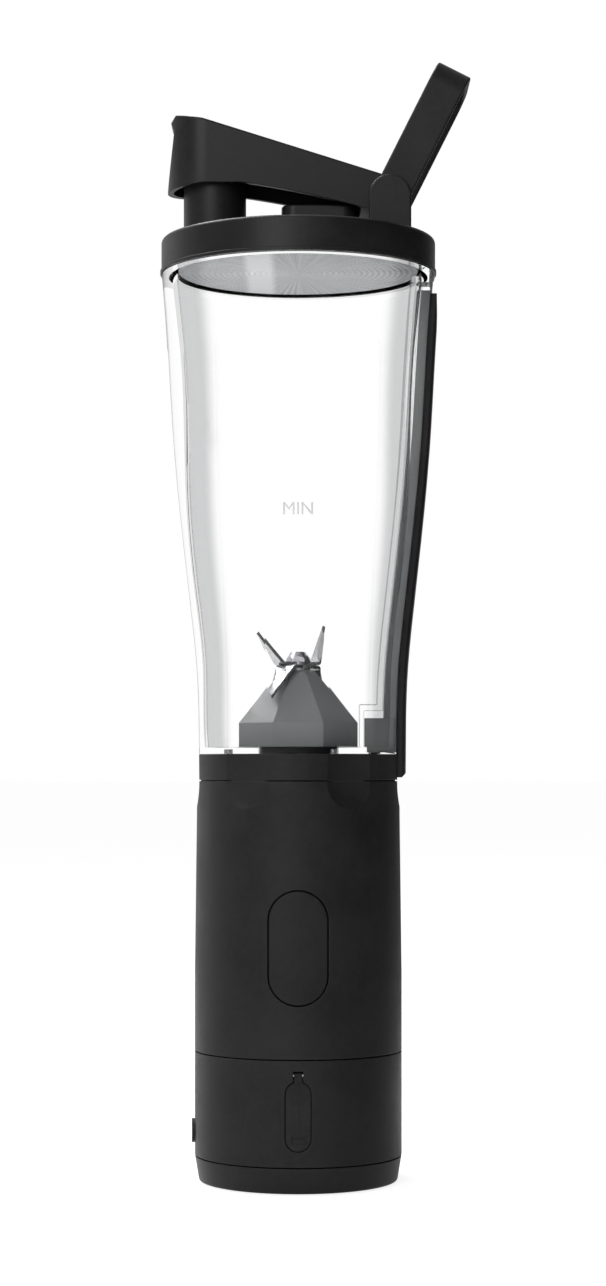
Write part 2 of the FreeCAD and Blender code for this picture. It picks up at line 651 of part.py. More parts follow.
def make_power_button():
    """Flush oval key with a lip behind the wall and a stem to the switch."""
    behind = inner_form(SEAL_T + GAP + BUTTON_LIP_T)
    key = key_form(0.0, -BASE_R + BUTTON_REACH).common(housing_body(LOWER_TOP, SHELL_TOP))
    half = BUTTON_W / 2 - BUTTON_GAP
    side_depth = BASE_R - math.sqrt(BASE_R ** 2 - half ** 2)
    face_edges = [e for e in key.Edges if e.BoundBox.YMax < -BASE_R + side_depth + 2 * BUTTON_GAP]
    key = key.makeFillet(BUTTON_EDGE_R, face_edges).cut(behind)
    lip = key_form(BUTTON_LIP, -BASE_R + BUTTON_REACH).common(inner_form(SEAL_T + GAP)).cut(behind)
    reach = switch_face_y() - SWITCH_TIP
    stem = Part.makeCylinder(STEM_R, BUTTON_REACH, V(0, reach, BUTTON_Z), V(0, -1, 0))
    stem = stem.common(inner_form(SEAL_T + GAP))
    return joined([key, lip, stem])


def switch_face_y():
    """Front face of the switch on the main board."""
    return BOARD_Y - BOARD_T - SWITCH_H


def make_button_seal():
    """Soft gasket bonded to the wall behind the key's opening."""
    skin = inner_form(0.0).cut(inner_form(SEAL_T))
    opening = stadium(BUTTON_W, BUTTON_H, BUTTON_Z, -BASE_R - 2, 0)
    return skin.common(key_form(BUTTON_LIP, -BASE_R + BUTTON_REACH)).cut(opening)


def make_tact_switch():
    """Small switch with a bore for its plunger."""
    face = switch_face_y()
    half = SWITCH_SIDE / 2
    body = block(-half, half, face, BOARD_Y - BOARD_T, BUTTON_Z - half, BUTTON_Z + half)
    depth = SWITCH_TIP + BUTTON_TRAVEL + GAP
    return body.cut(Part.makeCylinder(SWITCH_TIP_R + SEAT, depth, V(0, face, BUTTON_Z), Y_AXIS))


def make_switch_plunger():
    """Plunger of the switch, resting against the key's stem."""
    start = V(0, switch_face_y() - SWITCH_TIP, BUTTON_Z)
    return Part.makeCylinder(SWITCH_TIP_R, 2 * SWITCH_TIP, start, Y_AXIS)


def make_main_board():
    """Board with its controller, two transistors and a capacitor."""
    y_board = BOARD_Y - BOARD_T
    board = block(-BOARD_W / 2, BOARD_W / 2, y_board, BOARD_Y,
                  BUTTON_Z - BOARD_H / 2, BUTTON_Z + BOARD_H / 2)
    parts = [board]
    for x, z, w, h in ((-9.5, 12.0, 5.0, 5.0), (9.0, 14.0, 6.4, 3.2), (9.2, -12.0, 4.4, 6.0)):
        parts.append(block(x - w / 2, x + w / 2, y_board - 1.4, y_board,
                           BUTTON_Z + z - h / 2, BUTTON_Z + z + h / 2))
    parts.append(Part.makeCylinder(2.8, 3.4, V(-9.0, y_board - 3.4, BUTTON_Z - 13.0), Y_AXIS))
    return joined(parts)


# ================================================================ battery and motor
def make_cell(side):
    """Round cell with its raised terminal."""
    x = side * CELL_PITCH / 2
    can_top = CELL_Z + CELL_H - CELL_BUTTON_H
    can = disc(CELL_R, CELL_Z, can_top, x)
    can = can.makeFillet(CELL_EDGE_R, can.Edges)
    return joined([can, disc(CELL_BUTTON_R, can_top - SEAT, CELL_Z + CELL_H, x)])


def make_cell_links():
    """Nickel strips: one across the bottom ends, one tab on each top end."""
    reach = CELL_PITCH / 2 + LINK_HALF_W
    low = block(-reach, reach, -LINK_HALF_W, LINK_HALF_W, CELL_Z - LINK_T, CELL_Z)
    tabs = [block(s * CELL_PITCH / 2 - LINK_HALF_W, s * CELL_PITCH / 2 + LINK_HALF_W, -2.5, 5,
                  CELL_Z + CELL_H, CELL_Z + CELL_H + LINK_T) for s in (-1, 1)]
    return Part.makeCompound([low] + tabs)


def pair_form(radius, neck, low, high):
    """Upright figure of eight round the two cells."""
    rounds = [disc(radius, low, high, side * CELL_PITCH / 2) for side in (-1, 1)]
    return joined(rounds + [block(-CELL_PITCH / 2, CELL_PITCH / 2, -neck, neck, low, high)])


def make_battery_carrier():
    """Cradle on the foot's floor with two clasping bands, side posts and a spine."""
    stand = pair_form(CELL_R + CARRIER_T, CARRIER_NECK, foot_floor(), CELL_Z - LINK_T)
    top = CELL_Z + CELL_H - 3.0
    pieces = []
    for low in (CELL_Z + 7.0, CELL_Z + CELL_H - 16.0):
        pieces.append(pair_form(CELL_R + CARRIER_T, CARRIER_NECK, low, low + CARRIER_BAND_H))
    post_x = CELL_PITCH / 2 + CELL_R - 0.6
    for side in (-1, 1):
        x0, x1 = sorted((side * post_x, side * (post_x + CARRIER_POST_W)))
        pieces.append(block(x0, x1, -CARRIER_POST_HALF, CARRIER_POST_HALF, foot_floor(), top))
    pieces.append(block(-CARRIER_SPINE_HALF, CARRIER_SPINE_HALF, CARRIER_POST_HALF,
                        CELL_R + 4 * SEAT, foot_floor(), top))
    body = joined(pieces)
    for side in (-1, 1):
        body = body.cut(disc(CELL_R + SEAT, foot_floor() - 1, CELL_Z + CELL_H + 1,
                             side * CELL_PITCH / 2))
    return joined([body, stand])


def motor_low():
    """Lower end of the motor."""
    return MOTOR_TOP - MOTOR_H


def armature_low():
    """Lower end of the iron core."""
    return motor_low() + END_CAP_H + COMMUTATOR_H + GAP


def make_motor_can():
    """Drawn can with a bearing boss, a shaft bore and two tapped holes."""
    low = motor_low() + END_CAP_H
    can = disc(MOTOR_R, low, MOTOR_TOP)
    can = can.makeFillet(CAN_EDGE_R, [e for e in can.Edges if e.BoundBox.ZMin > MOTOR_TOP - 0.01])
    boss = disc(BOSS_R, MOTOR_TOP - 1, MOTOR_TOP + BOSS_H)
    body = joined([can, boss]).cut(disc(MOTOR_R - CAN_WALL, low - 1, MOTOR_TOP - CAN_FACE_T))
    body = body.cut(disc(MOTOR_SHAFT_R + RUN, low - 1, MOTOR_TOP + BOSS_H + 1))
    for side in (-1, 1):
        body = body.cut(disc(SCREW_R, low, MOTOR_TOP + 1, side * MOTOR_SCREW_PITCH / 2))
    vent = block(MOTOR_R - 2 * CAN_WALL, MOTOR_R + 1, -3, 3, low + 2.0, low + 5.0)
    for cutter in around(vent, 2, 90.0):
        body = body.cut(cutter)
    return body


def make_motor_end_cap():
    """Moulded rear cap with the rear bearing and two terminals."""
    low = motor_low()
    cap = disc(MOTOR_R - 0.4, low, low + END_CAP_H)
    lug = [block(s * 9.0 - 1.2, s * 9.0 + 1.2, -0.25, 0.25, low - 0.9, low + 0.5) for s in (-1, 1)]
    body = joined([cap] + lug)
    return body.cut(disc(MOTOR_SHAFT_R + RUN, low + 0.8, low + END_CAP_H + 1))


def make_motor_magnets():
    """Two arc magnets on the can's inside."""
    low = armature_low() - 0.5
    arc = sector(MOTOR_R - CAN_WALL, MOTOR_R - CAN_WALL - MAGNET_T, low, low + ARMATURE_H + 1.0,
                 MAGNET_HALF_DEG)
    return Part.makeCompound(around(arc, 2))


def make_motor_armature():
    """Slotted iron core on the shaft."""
    low = armature_low()
    radius = MOTOR_R - CAN_WALL - MAGNET_T - ARMATURE_GAP
    core = disc(radius, low, low + ARMATURE_H)
    slot = block(radius * 0.42, radius + 1, -SLOT_HALF_W, SLOT_HALF_W, low - 1, low + ARMATURE_H + 1)
    pocket = disc(2.4, low - 1, low + ARMATURE_H + 1, radius * 0.6)
    for cutter in around(joined([slot, pocket]), ARMATURE_POLES):
        core = core.cut(cutter)
    return core.cut(disc(MOTOR_SHAFT_R, low - 1, low + ARMATURE_H + 1))


def make_motor_commutator():
    """Copper ring with a slit for each pole."""
    low = armature_low() - COMMUTATOR_H
    ring = tube(COMMUTATOR_R, MOTOR_SHAFT_R, low, low + COMMUTATOR_H)
    slit = block(COMMUTATOR_R - 0.7, COMMUTATOR_R + 1, -0.2, 0.2, low - 1, low + COMMUTATOR_H - 0.5)
    for cutter in around(slit, ARMATURE_POLES, 60.0):
        ring = ring.cut(cutter)
    return ring


def make_motor_shaft():
    """Shaft with a flat where the coupling sits."""
    rod = disc(MOTOR_SHAFT_R, motor_low() + 1.0, DRIVE_Z + COUPLING_PLATE + 1.0)
    flat = block(MOTOR_SHAFT_R - SHAFT_FLAT, 5, -5, 5, DRIVE_Z - 1.0, DRIVE_Z + 20)
    return rod.cut(flat)


def make_motor_bracket():
    """Plate that carries the motor, with a skirt round the can and the switch's arms."""
    low = MOTOR_TOP
    high = low + BRACKET_T
    plate = disc(BRACKET_R, low, high)
    plate = plate.cut(disc(BOSS_R + SEAT, low - 1, high + 1))
    for side in (-1, 1):
        plate = plate.cut(disc(SCREW_R + SEAT, low - 1, high + 1,
                               side * MOTOR_SCREW_PITCH / 2))
        plate = plate.cut(disc(SCREW_HEAD_R + 0.4, high - 1.6, high + 1,
                               side * MOTOR_SCREW_PITCH / 2))
    for x, y in bracket_screw_places():
        plate = plate.cut(disc(SCREW_R + SEAT, low - 1, high + 1, x, y))
    plate = plate.cut(disc(PLUNGER_R + 0.5, low - 1, high + 1, PLUNGER_X))
    skirt = tube(MOTOR_R + SEAT + BRACKET_SKIRT_T, MOTOR_R + SEAT, low - BRACKET_SKIRT_H, low + 0.5)
    return joined([plate, skirt] + switch_hangers())


def switch_hangers():
    """Two hooked arms under the bracket that hold the guard switch."""
    half_w = GUARD_SWITCH_W / 2
    half_l = GUARD_SWITCH_L / 2
    arms = []
    for side in (-1, 1):
        y0, y1 = sorted((side * half_l, side * (half_l + HANGER_T)))
        arms.append(block(PLUNGER_X - half_w, PLUNGER_X + half_w, y0, y1,
                          GUARD_SWITCH_Z - HANGER_T, MOTOR_TOP + 0.5))
        y0, y1 = sorted((side * (half_l - HANGER_HOOK), side * (half_l + HANGER_T)))
        arms.append(block(PLUNGER_X - half_w, PLUNGER_X + half_w, y0, y1,
                          GUARD_SWITCH_Z - HANGER_T, GUARD_SWITCH_Z))
    return arms


def make_motor_screws():
    """Two screws through the bracket into the motor's face."""
    low = MOTOR_TOP - MOTOR_SCREW_BITE
    length = BRACKET_T - 1.6 + MOTOR_SCREW_BITE
    return Part.makeCompound([screw(s * MOTOR_SCREW_PITCH / 2, 0, low, length, True)
                              for s in (-1, 1)])


def make_bracket_screws():
    """Three screws from below into the root of the locating ring."""
    low = MOTOR_TOP - SCREW_HEAD_H
    return Part.makeCompound([screw(x, y, low, BRACKET_T + BRACKET_SCREW_BITE, False)
                              for x, y in bracket_screw_places()])


def make_well_seal():
    """Soft ring round the shaft in the floor of the coupling well."""
    return tube(BOSS_R + 0.6, MOTOR_SHAFT_R + GAP, WELL_FLOOR - WELL_FLOOR_T, WELL_FLOOR + 0.4)


def make_guard_switch():
    """Small switch under the plunger, closed while the lid holds the rod down."""
    half_w = GUARD_SWITCH_W / 2
    half_l = GUARD_SWITCH_L / 2
    high = GUARD_SWITCH_Z + GUARD_SWITCH_H
    body = block(PLUNGER_X - half_w, PLUNGER_X + half_w, -half_l, half_l, GUARD_SWITCH_Z, high)
    tip = disc(GUARD_TIP_R, high - SEAT, plunger_low(), PLUNGER_X)
    legs = [block(PLUNGER_X - 0.3, PLUNGER_X + 0.3, y - 0.4, y + 0.4, GUARD_SWITCH_Z - 2.4,
                  GUARD_SWITCH_Z + OVERLAP) for y in (-GUARD_LEG_PITCH, 0.0, GUARD_LEG_PITCH)]
    return joined([body, tip] + legs)


def plunger_low():
    """Lower end of the plunger, on the switch's tip."""
    return GUARD_SWITCH_Z + GUARD_SWITCH_H + GUARD_TIP_H


def make_guard_plunger():
    """Plain pin between the rod's foot and the guard switch."""
    return disc(PLUNGER_R, plunger_low(), SPIGOT_TOP + SEAT, PLUNGER_X)


# ================================================================ couplings
def coupling_half(low, lugs_up):
    """Plate with a hub and four lugs that stand between the other half's lugs."""
    plate_low = low
    plate_high = low + COUPLING_PLATE
    plate = disc(COUPLING_R, plate_low, plate_high)
    if lugs_up:
        lug_low = plate_high - OVERLAP
        lug_high = plate_high + COUPLING_LUG_H
    else:
        lug_low = plate_low - COUPLING_LUG_H
        lug_high = plate_low + OVERLAP
    lug = sector(COUPLING_R, COUPLING_HUB_R + 0.6, lug_low, lug_high, COUPLING_LUG_DEG / 2)
    return joined([plate] + around(lug, COUPLING_LUGS))


def driven_z():
    """Underside of the driven half's plate."""
    return DRIVE_Z + COUPLING_PLATE + COUPLING_LUG_H + MESH_GAP


def make_drive_coupling():
    """Driving half, keyed to the motor shaft by a flat."""
    body = coupling_half(DRIVE_Z, True)
    bore = disc(MOTOR_SHAFT_R, DRIVE_Z - 1, DRIVE_Z + 20)
    flat = block(MOTOR_SHAFT_R - SHAFT_FLAT, 5, -5, 5, DRIVE_Z - 2, DRIVE_Z + 21)
    return body.cut(bore.cut(flat))


def make_driven_coupling():
    """Driven half on the blade shaft, its lugs between the other half's."""
    body = coupling_half(driven_z(), False)
    body = spun(body, 180.0 / COUPLING_LUGS)
    return body.cut(disc(BLADE_SHAFT_R, driven_z() - 1, driven_z() + 20))


# ================================================================ cup
def flank_edge(shift, points=CUP_FLANK):
    """Smooth edge through (radius + shift, height) points."""
    curve = Part.BSplineCurve()
    curve.interpolate([V(r + shift, 0, z) for r, z in points])
    return curve.toShape()


def flank_face(shift, points=CUP_FLANK):
    """Face between the axis and the shifted flank."""
    low = points[0]
    high = points[-1]
    corners = [V(low[0] + shift, 0, low[1]), V(0, 0, low[1]),
               V(0, 0, high[1]), V(high[0] + shift, 0, high[1])]
    sides = [Part.makeLine(corners[k], corners[k + 1]) for k in range(3)]
    return Part.Face(Part.Wire([flank_edge(shift, points)] + sides[::-1]))


def flank_solid(shift, points=CUP_FLANK):
    """The cup's outside, grown by shift, as a solid of revolution."""
    return flank_face(shift, points).revolve(ORIGIN, Z_AXIS, 360)


def flank_slab(shift, width, points=CUP_FLANK):
    """Plate across +X whose outer edge follows the shifted flank."""
    face = flank_face(shift, points)
    face.translate(V(0, -width / 2, 0))
    return face.extrude(V(0, width, 0))


def flank_radius(z):
    """Radius of the cup's outside at a height, read between the named points."""
    for (r0, z0), (r1, z1) in zip(CUP_FLANK, CUP_FLANK[1:]):
        if z0 <= z <= z1:
            return r0 + (r1 - r0) * (z - z0) / (z1 - z0)
    return CUP_FLANK[0][0]


def flute_cutter():
    """Body turned about an upright axis outside the cup; it scoops the flute on +X."""
    heights = [FLUTE_LOW_Z] + [z for r, z in CUP_FLANK if FLUTE_LOW_Z + 3 < z < FLUTE_TOP_Z - 3]
    heights.append(FLUTE_TOP_Z)
    span = FLUTE_TOP_Z - FLUTE_LOW_Z
    path = []
    for z in heights:
        share = (z - FLUTE_LOW_Z) / span
        depth = FLUTE_DEPTH_LOW + share * (FLUTE_DEPTH_TOP - FLUTE_DEPTH_LOW)
        path.append(V(flank_radius(z) - depth, 0, z))
    curve = Part.BSplineCurve()
    curve.interpolate(path)
    low, high = path[0], path[-1]
    r = FLUTE_END_R
    turn = r * math.sqrt(0.5)
    low_end = V(low.x + r, 0, low.z - r)
    high_end = V(high.x + r, 0, high.z + r)
    edges = [
        Part.makeLine(V(FLUTE_AXIS_X, 0, low_end.z), low_end),
        Part.Arc(low_end, V(low.x + r - turn, 0, low.z - turn), low).toShape(),
        curve.toShape(),
        Part.Arc(high, V(high.x + r - turn, 0, high.z + turn), high_end).toShape(),
        Part.makeLine(high_end, V(FLUTE_AXIS_X, 0, high_end.z)),
        Part.makeLine(V(FLUTE_AXIS_X, 0, high_end.z), V(FLUTE_AXIS_X, 0, low_end.z)),
    ]
    axis = V(FLUTE_AXIS_X, 0, 0)
    return Part.Face(Part.Wire(edges)).revolve(axis, Z_AXIS, 360)


def channel_floor():
    """How far inside the flank the rod's channel is cut."""
    return RAIL_T - RAIL_PROUD + GAP + ROD_T + GAP + SEAT


def make_cup():
    """Clear jar: fluted wall, flat floor, threaded neck and the rod's channel."""
    outside = flank_solid(0.0).common(slab(CUP_FLOOR, SHOULDER_Z))
    neck = disc(NECK_OUT_R, SHOULDER_Z - 1, NECK_TOP)
    body = outside.fuse(neck)
    for cutter in around(flute_cutter(), FLUTES)[1:]:
        body = body.cut(cutter)
    hollow = cup_hollow().cut(channel_bulge())
    body = body.cut(hollow)
    body = body.cut(channel_void())
    body = body.cut(disc(HUB_NECK_R + SEAT, CUP_FLOOR - 1, CUP_FLOOR + CUP_FLOOR_T + 1))
    for x, y in collar_screw_places():
        body = body.cut(disc(SCREW_R, CUP_FLOOR - 1, CUP_FLOOR + COLLAR_SCREW_BITE, x, y))
    return body.fuse(thread_ridges())


def cup_hollow():
    """Inside of the cup, turned in one piece from the floor to past the mouth."""
    bore = [(flank_radius(SHELL_TOP + rise) - wall, SHELL_TOP + rise) for wall, rise in CUP_WALL]
    low = bore[0]
    high = bore[-1]
    corners = [V(low[0], 0, low[1]), V(0, 0, low[1]), V(0, 0, NECK_TOP + PAST),
               V(RIM_BORE_R, 0, NECK_TOP + PAST), V(RIM_BORE_R, 0, BORE_TOP_Z), V(high[0], 0, high[1])]
    sides = [Part.makeLine(corners[k], corners[k + 1]) for k in range(5)]
    return Part.Face(Part.Wire([flank_edge(0.0, bore)] + sides[::-1])).revolve(ORIGIN, Z_AXIS, 360)


def channel_bulge():
    """Inner wall that keeps the channel and its foot pocket dry."""
    inner = channel_floor() + CHANNEL_WALL
    wide = ROD_W + 2 * GAP + 2 * CHANNEL_WALL
    column = block(0, TRIM, -wide / 2, wide / 2, CUP_FLOOR, SHOULDER_Z)
    column = column.cut(flank_slab(-inner, wide + 2 * PAST))
    pocket_w = FOOT_BLOCK_W + 2 * GAP + 2 * CHANNEL_WALL
    pocket = block(FOOT_BLOCK_X - GAP - CHANNEL_WALL + 0.4, FLUTE_AXIS_X, -pocket_w / 2, pocket_w / 2,
                   CUP_FLOOR, FOOT_BLOCK_TOP + ROD_TRAVEL + GAP + CHANNEL_WALL)
    above = disc(RIM_BORE_R + PAST, BULGE_TOP, SHOULDER_Z + 20)
    return column.fuse(pocket).cut(above)


def channel_void():
    """Room for the rail, the rod and the rod's foot."""
    inside = FOOT_BLOCK_X - GAP
    seat = block(inside, TRIM, -RAIL_W / 2 - SEAT, RAIL_W / 2 + SEAT, CUP_FLOOR - PAST, SHOULDER_Z - 0.9)
    seat = seat.cut(flank_slab(-(RAIL_T - RAIL_PROUD), RAIL_W + 2 * PAST))
    half = ROD_W / 2 + GAP
    run = block(inside, TRIM, -half, half, CUP_FLOOR - PAST, CHANNEL_TOP)
    run = run.cut(flank_slab(-channel_floor(), ROD_W + 2 * PAST))
    head = block(ROD_NUB_X - 0.25, ROD_NUB_X + ROD_NUB_T + GAP, -half, half,
                 ROD_HEAD_Z - 2, SHOULDER_Z + 1)
    pocket_half = FOOT_BLOCK_W / 2 + GAP
    pocket = block(inside, NECK_R + SEAT, -pocket_half, pocket_half, CUP_FLOOR - PAST,
                   FOOT_BLOCK_TOP + ROD_TRAVEL + GAP)
    return seat.fuse([run, head, pocket])


def thread_ridges():
    """Short raised ramps of the screw thread on the neck."""
    ridges = []
    for level in THREAD_Z:
        for middle in THREAD_MIDDLES:
            ridges.append(sector(THREAD_R, NECK_OUT_R - 0.4, level, level + THREAD_T,
                                 THREAD_ARC_DEG / 2, middle))
    return ridges


def make_cup_collar():
    """Black band under the cup, with the bayonet grooves inside."""
    low = SHELL_TOP - PAST
    band = flank_solid(0.0).common(slab(SHELL_TOP, COLLAR_TOP))
    band = band.cut(slab(low, SHELL_TOP + SEAM).cut(flank_solid(-COLLAR_LINE_DEPTH)))
    band = band.cut(disc(COLLAR_BORE_R, low, COLLAR_TOP - COLLAR_PLATE_T))
    band = band.cut(disc(HUB_NECK_R + SEAT, low, COLLAR_TOP + 1))
    for angle in LUG_ANGLES:
        half = LUG_HALF_DEG + LUG_PLAY_DEG
        entry = sector(LUG_R + GAP, COLLAR_BORE_R - 1, low, LUG_Z + LUG_T + GAP, half, angle)
        branch = sector(LUG_R + GAP, COLLAR_BORE_R - 1, LUG_Z - GAP, LUG_Z + LUG_T + GAP,
                        half + LOCK_TURN_DEG / 2, angle + LOCK_TURN_DEG / 2)
        band = band.cut(entry).cut(branch)
    for cutter in around(flute_cutter(), FLUTES):
        band = band.cut(cutter)
    seat = block(flank_radius(SHELL_TOP) - RAIL_T + RAIL_PROUD, TRIM, -RAIL_W / 2 - SEAT,
                 RAIL_W / 2 + SEAT, low, COLLAR_TOP + 1)
    band = band.cut(seat)
    band = band.cut(disc(PIN_R + 0.4, low, COLLAR_TOP + 1, PLUNGER_X))
    for x, y in collar_screw_places():
        band = band.cut(disc(SCREW_R + SEAT, low, COLLAR_TOP + 1, x, y))
    return band


def collar_screw_places():
    return [polar(COLLAR_SCREW_PCR, a) for a in COLLAR_SCREW_ANGLES]


def make_collar_screws():
    """Three short screws that hold the collar to the cup's floor."""
    low = COLLAR_TOP - COLLAR_PLATE_T - SCREW_HEAD_H
    length = CUP_FLOOR + COLLAR_SCREW_BITE - COLLAR_TOP + COLLAR_PLATE_T
    return Part.makeCompound([screw(x, y, low, length, False) for x, y in collar_screw_places()])


# ================================================================ rail and rod
def make_side_rail():
    """Cover of the rod's channel, standing proud of the cup."""
    outer = flank_solid(RAIL_PROUD).common(slab(RAIL_LOW_Z, RAIL_TOP_Z))
    strip = outer.common(block(HUB_R, TRIM, -RAIL_W / 2, RAIL_W / 2, RAIL_LOW_Z, RAIL_TOP_Z))
    strip = strip.cut(flank_slab(RAIL_PROUD - RAIL_T + SEAT, RAIL_W + 2 * PAST))
    tip = flank_radius(RAIL_LOW_Z) + RAIL_PROUD
    wedge = face_of([V(tip - RAIL_CHAMFER, 0, RAIL_LOW_Z - 1), V(tip + 1, 0, RAIL_LOW_Z - 1),
                     V(tip + 1, 0, RAIL_LOW_Z + RAIL_CHAMFER)])
    wedge.translate(V(0, -RAIL_W, 0))
    strip = strip.cut(wedge.extrude(V(0, 2 * RAIL_W, 0)))
    top = flank_radius(RAIL_TOP_Z) + RAIL_PROUD
    fall = face_of([V(top - RAIL_TIP_DROP, -RAIL_W, RAIL_TOP_Z), V(top + 1, -RAIL_W, RAIL_TOP_Z),
                    V(top + 1, -RAIL_W, RAIL_TOP_Z - RAIL_TIP_RUN),
                    V(flank_radius(RAIL_TOP_Z - RAIL_TIP_RUN) + RAIL_PROUD, -RAIL_W,
                      RAIL_TOP_Z - RAIL_TIP_RUN)])
    strip = strip.cut(fall.extrude(V(0, 2 * RAIL_W, 0)))
    long_edges = [e for e in strip.Edges if e.BoundBox.ZLength > (RAIL_TOP_Z - RAIL_LOW_Z) / 2
                  and e.BoundBox.XMax > flank_radius(RAIL_TOP_Z) - 1]
    return strip.makeFillet(RAIL_EDGE_R, long_edges)


def make_interlock_rod():
    """Flat push rod with a nub under the lid and a stepped foot above the base."""
    outer_shift = -(RAIL_T - RAIL_PROUD + GAP)
    column = block(HUB_R, TRIM, -ROD_W / 2, ROD_W / 2, FOOT_BLOCK_LOW, ROD_HEAD_Z)
    column = column.common(flank_slab(outer_shift, ROD_W + 2 * PAST))
    column = column.cut(flank_slab(outer_shift - ROD_T, ROD_W + 2 * PAST))
    step = block(ROD_NUB_X - 1.5, ROD_NUB_X + ROD_NUB_T, -ROD_W / 2, ROD_W / 2,
                 ROD_HEAD_Z - ROD_NUB_STEP, ROD_HEAD_Z)
    nub = block(ROD_NUB_X, ROD_NUB_X + ROD_NUB_T, -ROD_W / 2, ROD_W / 2,
                ROD_HEAD_Z - ROD_NUB_STEP, LID_LOW - SEAT)
    foot = block(FOOT_BLOCK_X, flank_radius(FOOT_BLOCK_LOW) + outer_shift - 0.6,
                 -FOOT_BLOCK_W / 2, FOOT_BLOCK_W / 2, FOOT_BLOCK_LOW, FOOT_BLOCK_TOP)
    pin = disc(PIN_R, SPIGOT_TOP + 2 * SEAT, FOOT_BLOCK_LOW + 1, PLUNGER_X)
    body = joined([column, step, nub, foot, pin])
    return body.cut(disc(SPRING_R + SPRING_WIRE_R + 0.15, FOOT_BLOCK_LOW - 1, SPRING_TOP, SPRING_X))


def make_rod_spring():
    """Coil that lifts the rod when the lid comes off."""
    low = COLLAR_TOP + SPRING_WIRE_R + 0.05
    high = SPRING_TOP - SPRING_WIRE_R - 0.05
    helix = Part.makeHelix((high - low) / SPRING_TURNS, high - low, SPRING_R)
    start = V(SPRING_R, 0, 0)
    ring = Part.Wire([Part.makeCircle(SPRING_WIRE_R, start, Y_AXIS)])
    coil = Part.Wire(helix.Edges).makePipeShell([ring], True, True)
    coil.translate(V(SPRING_X, 0, low))
    return coil


# ================================================================ blade unit
def facet_ring(radius, z):
    """Corners of the hub's eight-sided outline; radius is measured to its flats."""
    corner = radius / math.cos(math.pi / HUB_FACETS)
    turns = [(k + 0.5) * 2 * math.pi / HUB_FACETS for k in range(HUB_FACETS)]
    return Part.makePolygon([V(corner * math.cos(a), corner * math.sin(a), z)
                             for a in turns + turns[:1]])


def make_blade_base():
    """Eight-sided hub with sloping shoulders, threaded neck and bearing bore."""
    floor = CUP_FLOOR + CUP_FLOOR_T
    rings = [facet_ring(HUB_R, floor), facet_ring(HUB_R, HUB_SHOULDER), facet_ring(HUB_TOP_R, HUB_TOP)]
    skirt = Part.makeLoft(rings[:2], True, True)
    shoulders = Part.makeLoft(rings[1:], True, True)
    neck = disc(HUB_NECK_R, HUB_NECK_LOW, floor + 1)
    body = joined([skirt, shoulders, neck])
    body = body.cut(disc(BLADE_SHAFT_R + 0.6, HUB_NECK_LOW - 1, HUB_TOP + 1))
    body = body.cut(disc(BUSH_R, HUB_NECK_LOW - 1, HUB_NECK_LOW + BUSH_H + 0.4))
    body = body.cut(disc(BUSH_R, HUB_TOP - LIP_SEAL_H - BUSH_H - 0.4, HUB_TOP + 1))
    return body.cut(tube(HUB_R - GASKET_OUT, HUB_R - GASKET_IN, floor - PAST, floor + GASKET_T - SEAT))


def make_hub_gasket():
    """Flat ring in the hub's groove, on the cup's floor."""
    floor = CUP_FLOOR + CUP_FLOOR_T
    return tube(HUB_R - GASKET_OUT - SEAT, HUB_R - GASKET_IN + SEAT, floor, floor + GASKET_T - SEAT - RUN)


def make_hub_nut():
    """Round nut with six grip notches that clamps hub, cup and collar."""
    high = COLLAR_TOP - COLLAR_PLATE_T
    ring = tube(NUT_R, HUB_NECK_R + RUN, high - NUT_T, high)
    notch = block(NUT_R - 1.4, NUT_R + 1, -1.6, 1.6, high - NUT_T - 1, high + 1)
    for cutter in around(notch, NUT_NOTCHES, 30.0):
        ring = ring.cut(cutter)
    return ring


def make_bush(low):
    """Plain bearing of the blade shaft."""
    return tube(BUSH_R, BLADE_SHAFT_R + RUN, low, low + BUSH_H)


def make_lower_bush():
    """Bearing at the neck's lower end."""
    return make_bush(HUB_NECK_LOW + 0.2)


def make_upper_bush():
    """Bearing under the shaft seal."""
    return make_bush(HUB_TOP - LIP_SEAL_H - BUSH_H - 0.2)


def make_shaft_seal():
    """Seal round the shaft at the hub's top."""
    low = HUB_TOP - LIP_SEAL_H
    return tube(BUSH_R, BLADE_SHAFT_R + RUN, low, HUB_TOP - 0.2)


def make_blade_shaft():
    """Shaft from the driven coupling to the blades, with a shoulder under them."""
    low = driven_z() + 0.4
    high = BLADE_Z + 2 * BLADE_T + BLADE_NUT_H - 0.6
    rod = disc(BLADE_SHAFT_R, low, high)
    shoulder = disc(BLADE_SHAFT_R + 1.1, HUB_TOP + 0.1, BLADE_Z)
    return joined([rod, shoulder])


def blade_arm(length, rise_deg, root_w, tip_w, low):
    """Tapered arm along +X, bent up or down at its root line."""
    flat = face_of([V(0, -root_w / 2, 0), V(length * 0.82, -tip_w / 2 - 0.5, 0),
                    V(length, tip_w / 2 - 0.2, 0), V(length * 0.9, tip_w / 2, 0),
                    V(0, root_w / 2, 0)]).extrude(V(0, 0, BLADE_T))
    edge = 0.55 * BLADE_T
    bevel = face_of([V(-1, 0, edge), V(-1, 0, BLADE_T + 1), V(-1, 3, BLADE_T + 1)])
    bevel = bevel.extrude(V(length + 4, 0, 0))
    bevel.translate(V(0, -root_w / 2, 0))
    bevel.rotate(V(0, -root_w / 2, 0), Z_AXIS,
                 math.degrees(math.atan2(root_w / 2 - tip_w / 2 - 0.5, length * 0.82)))
    flat = flat.cut(bevel.mirror(V(0, -root_w / 2, 0), Y_AXIS))
    flat.rotate(ORIGIN, Y_AXIS, -rise_deg)
    flat.translate(V(BLADE_ROOT, 0, low))
    return flat


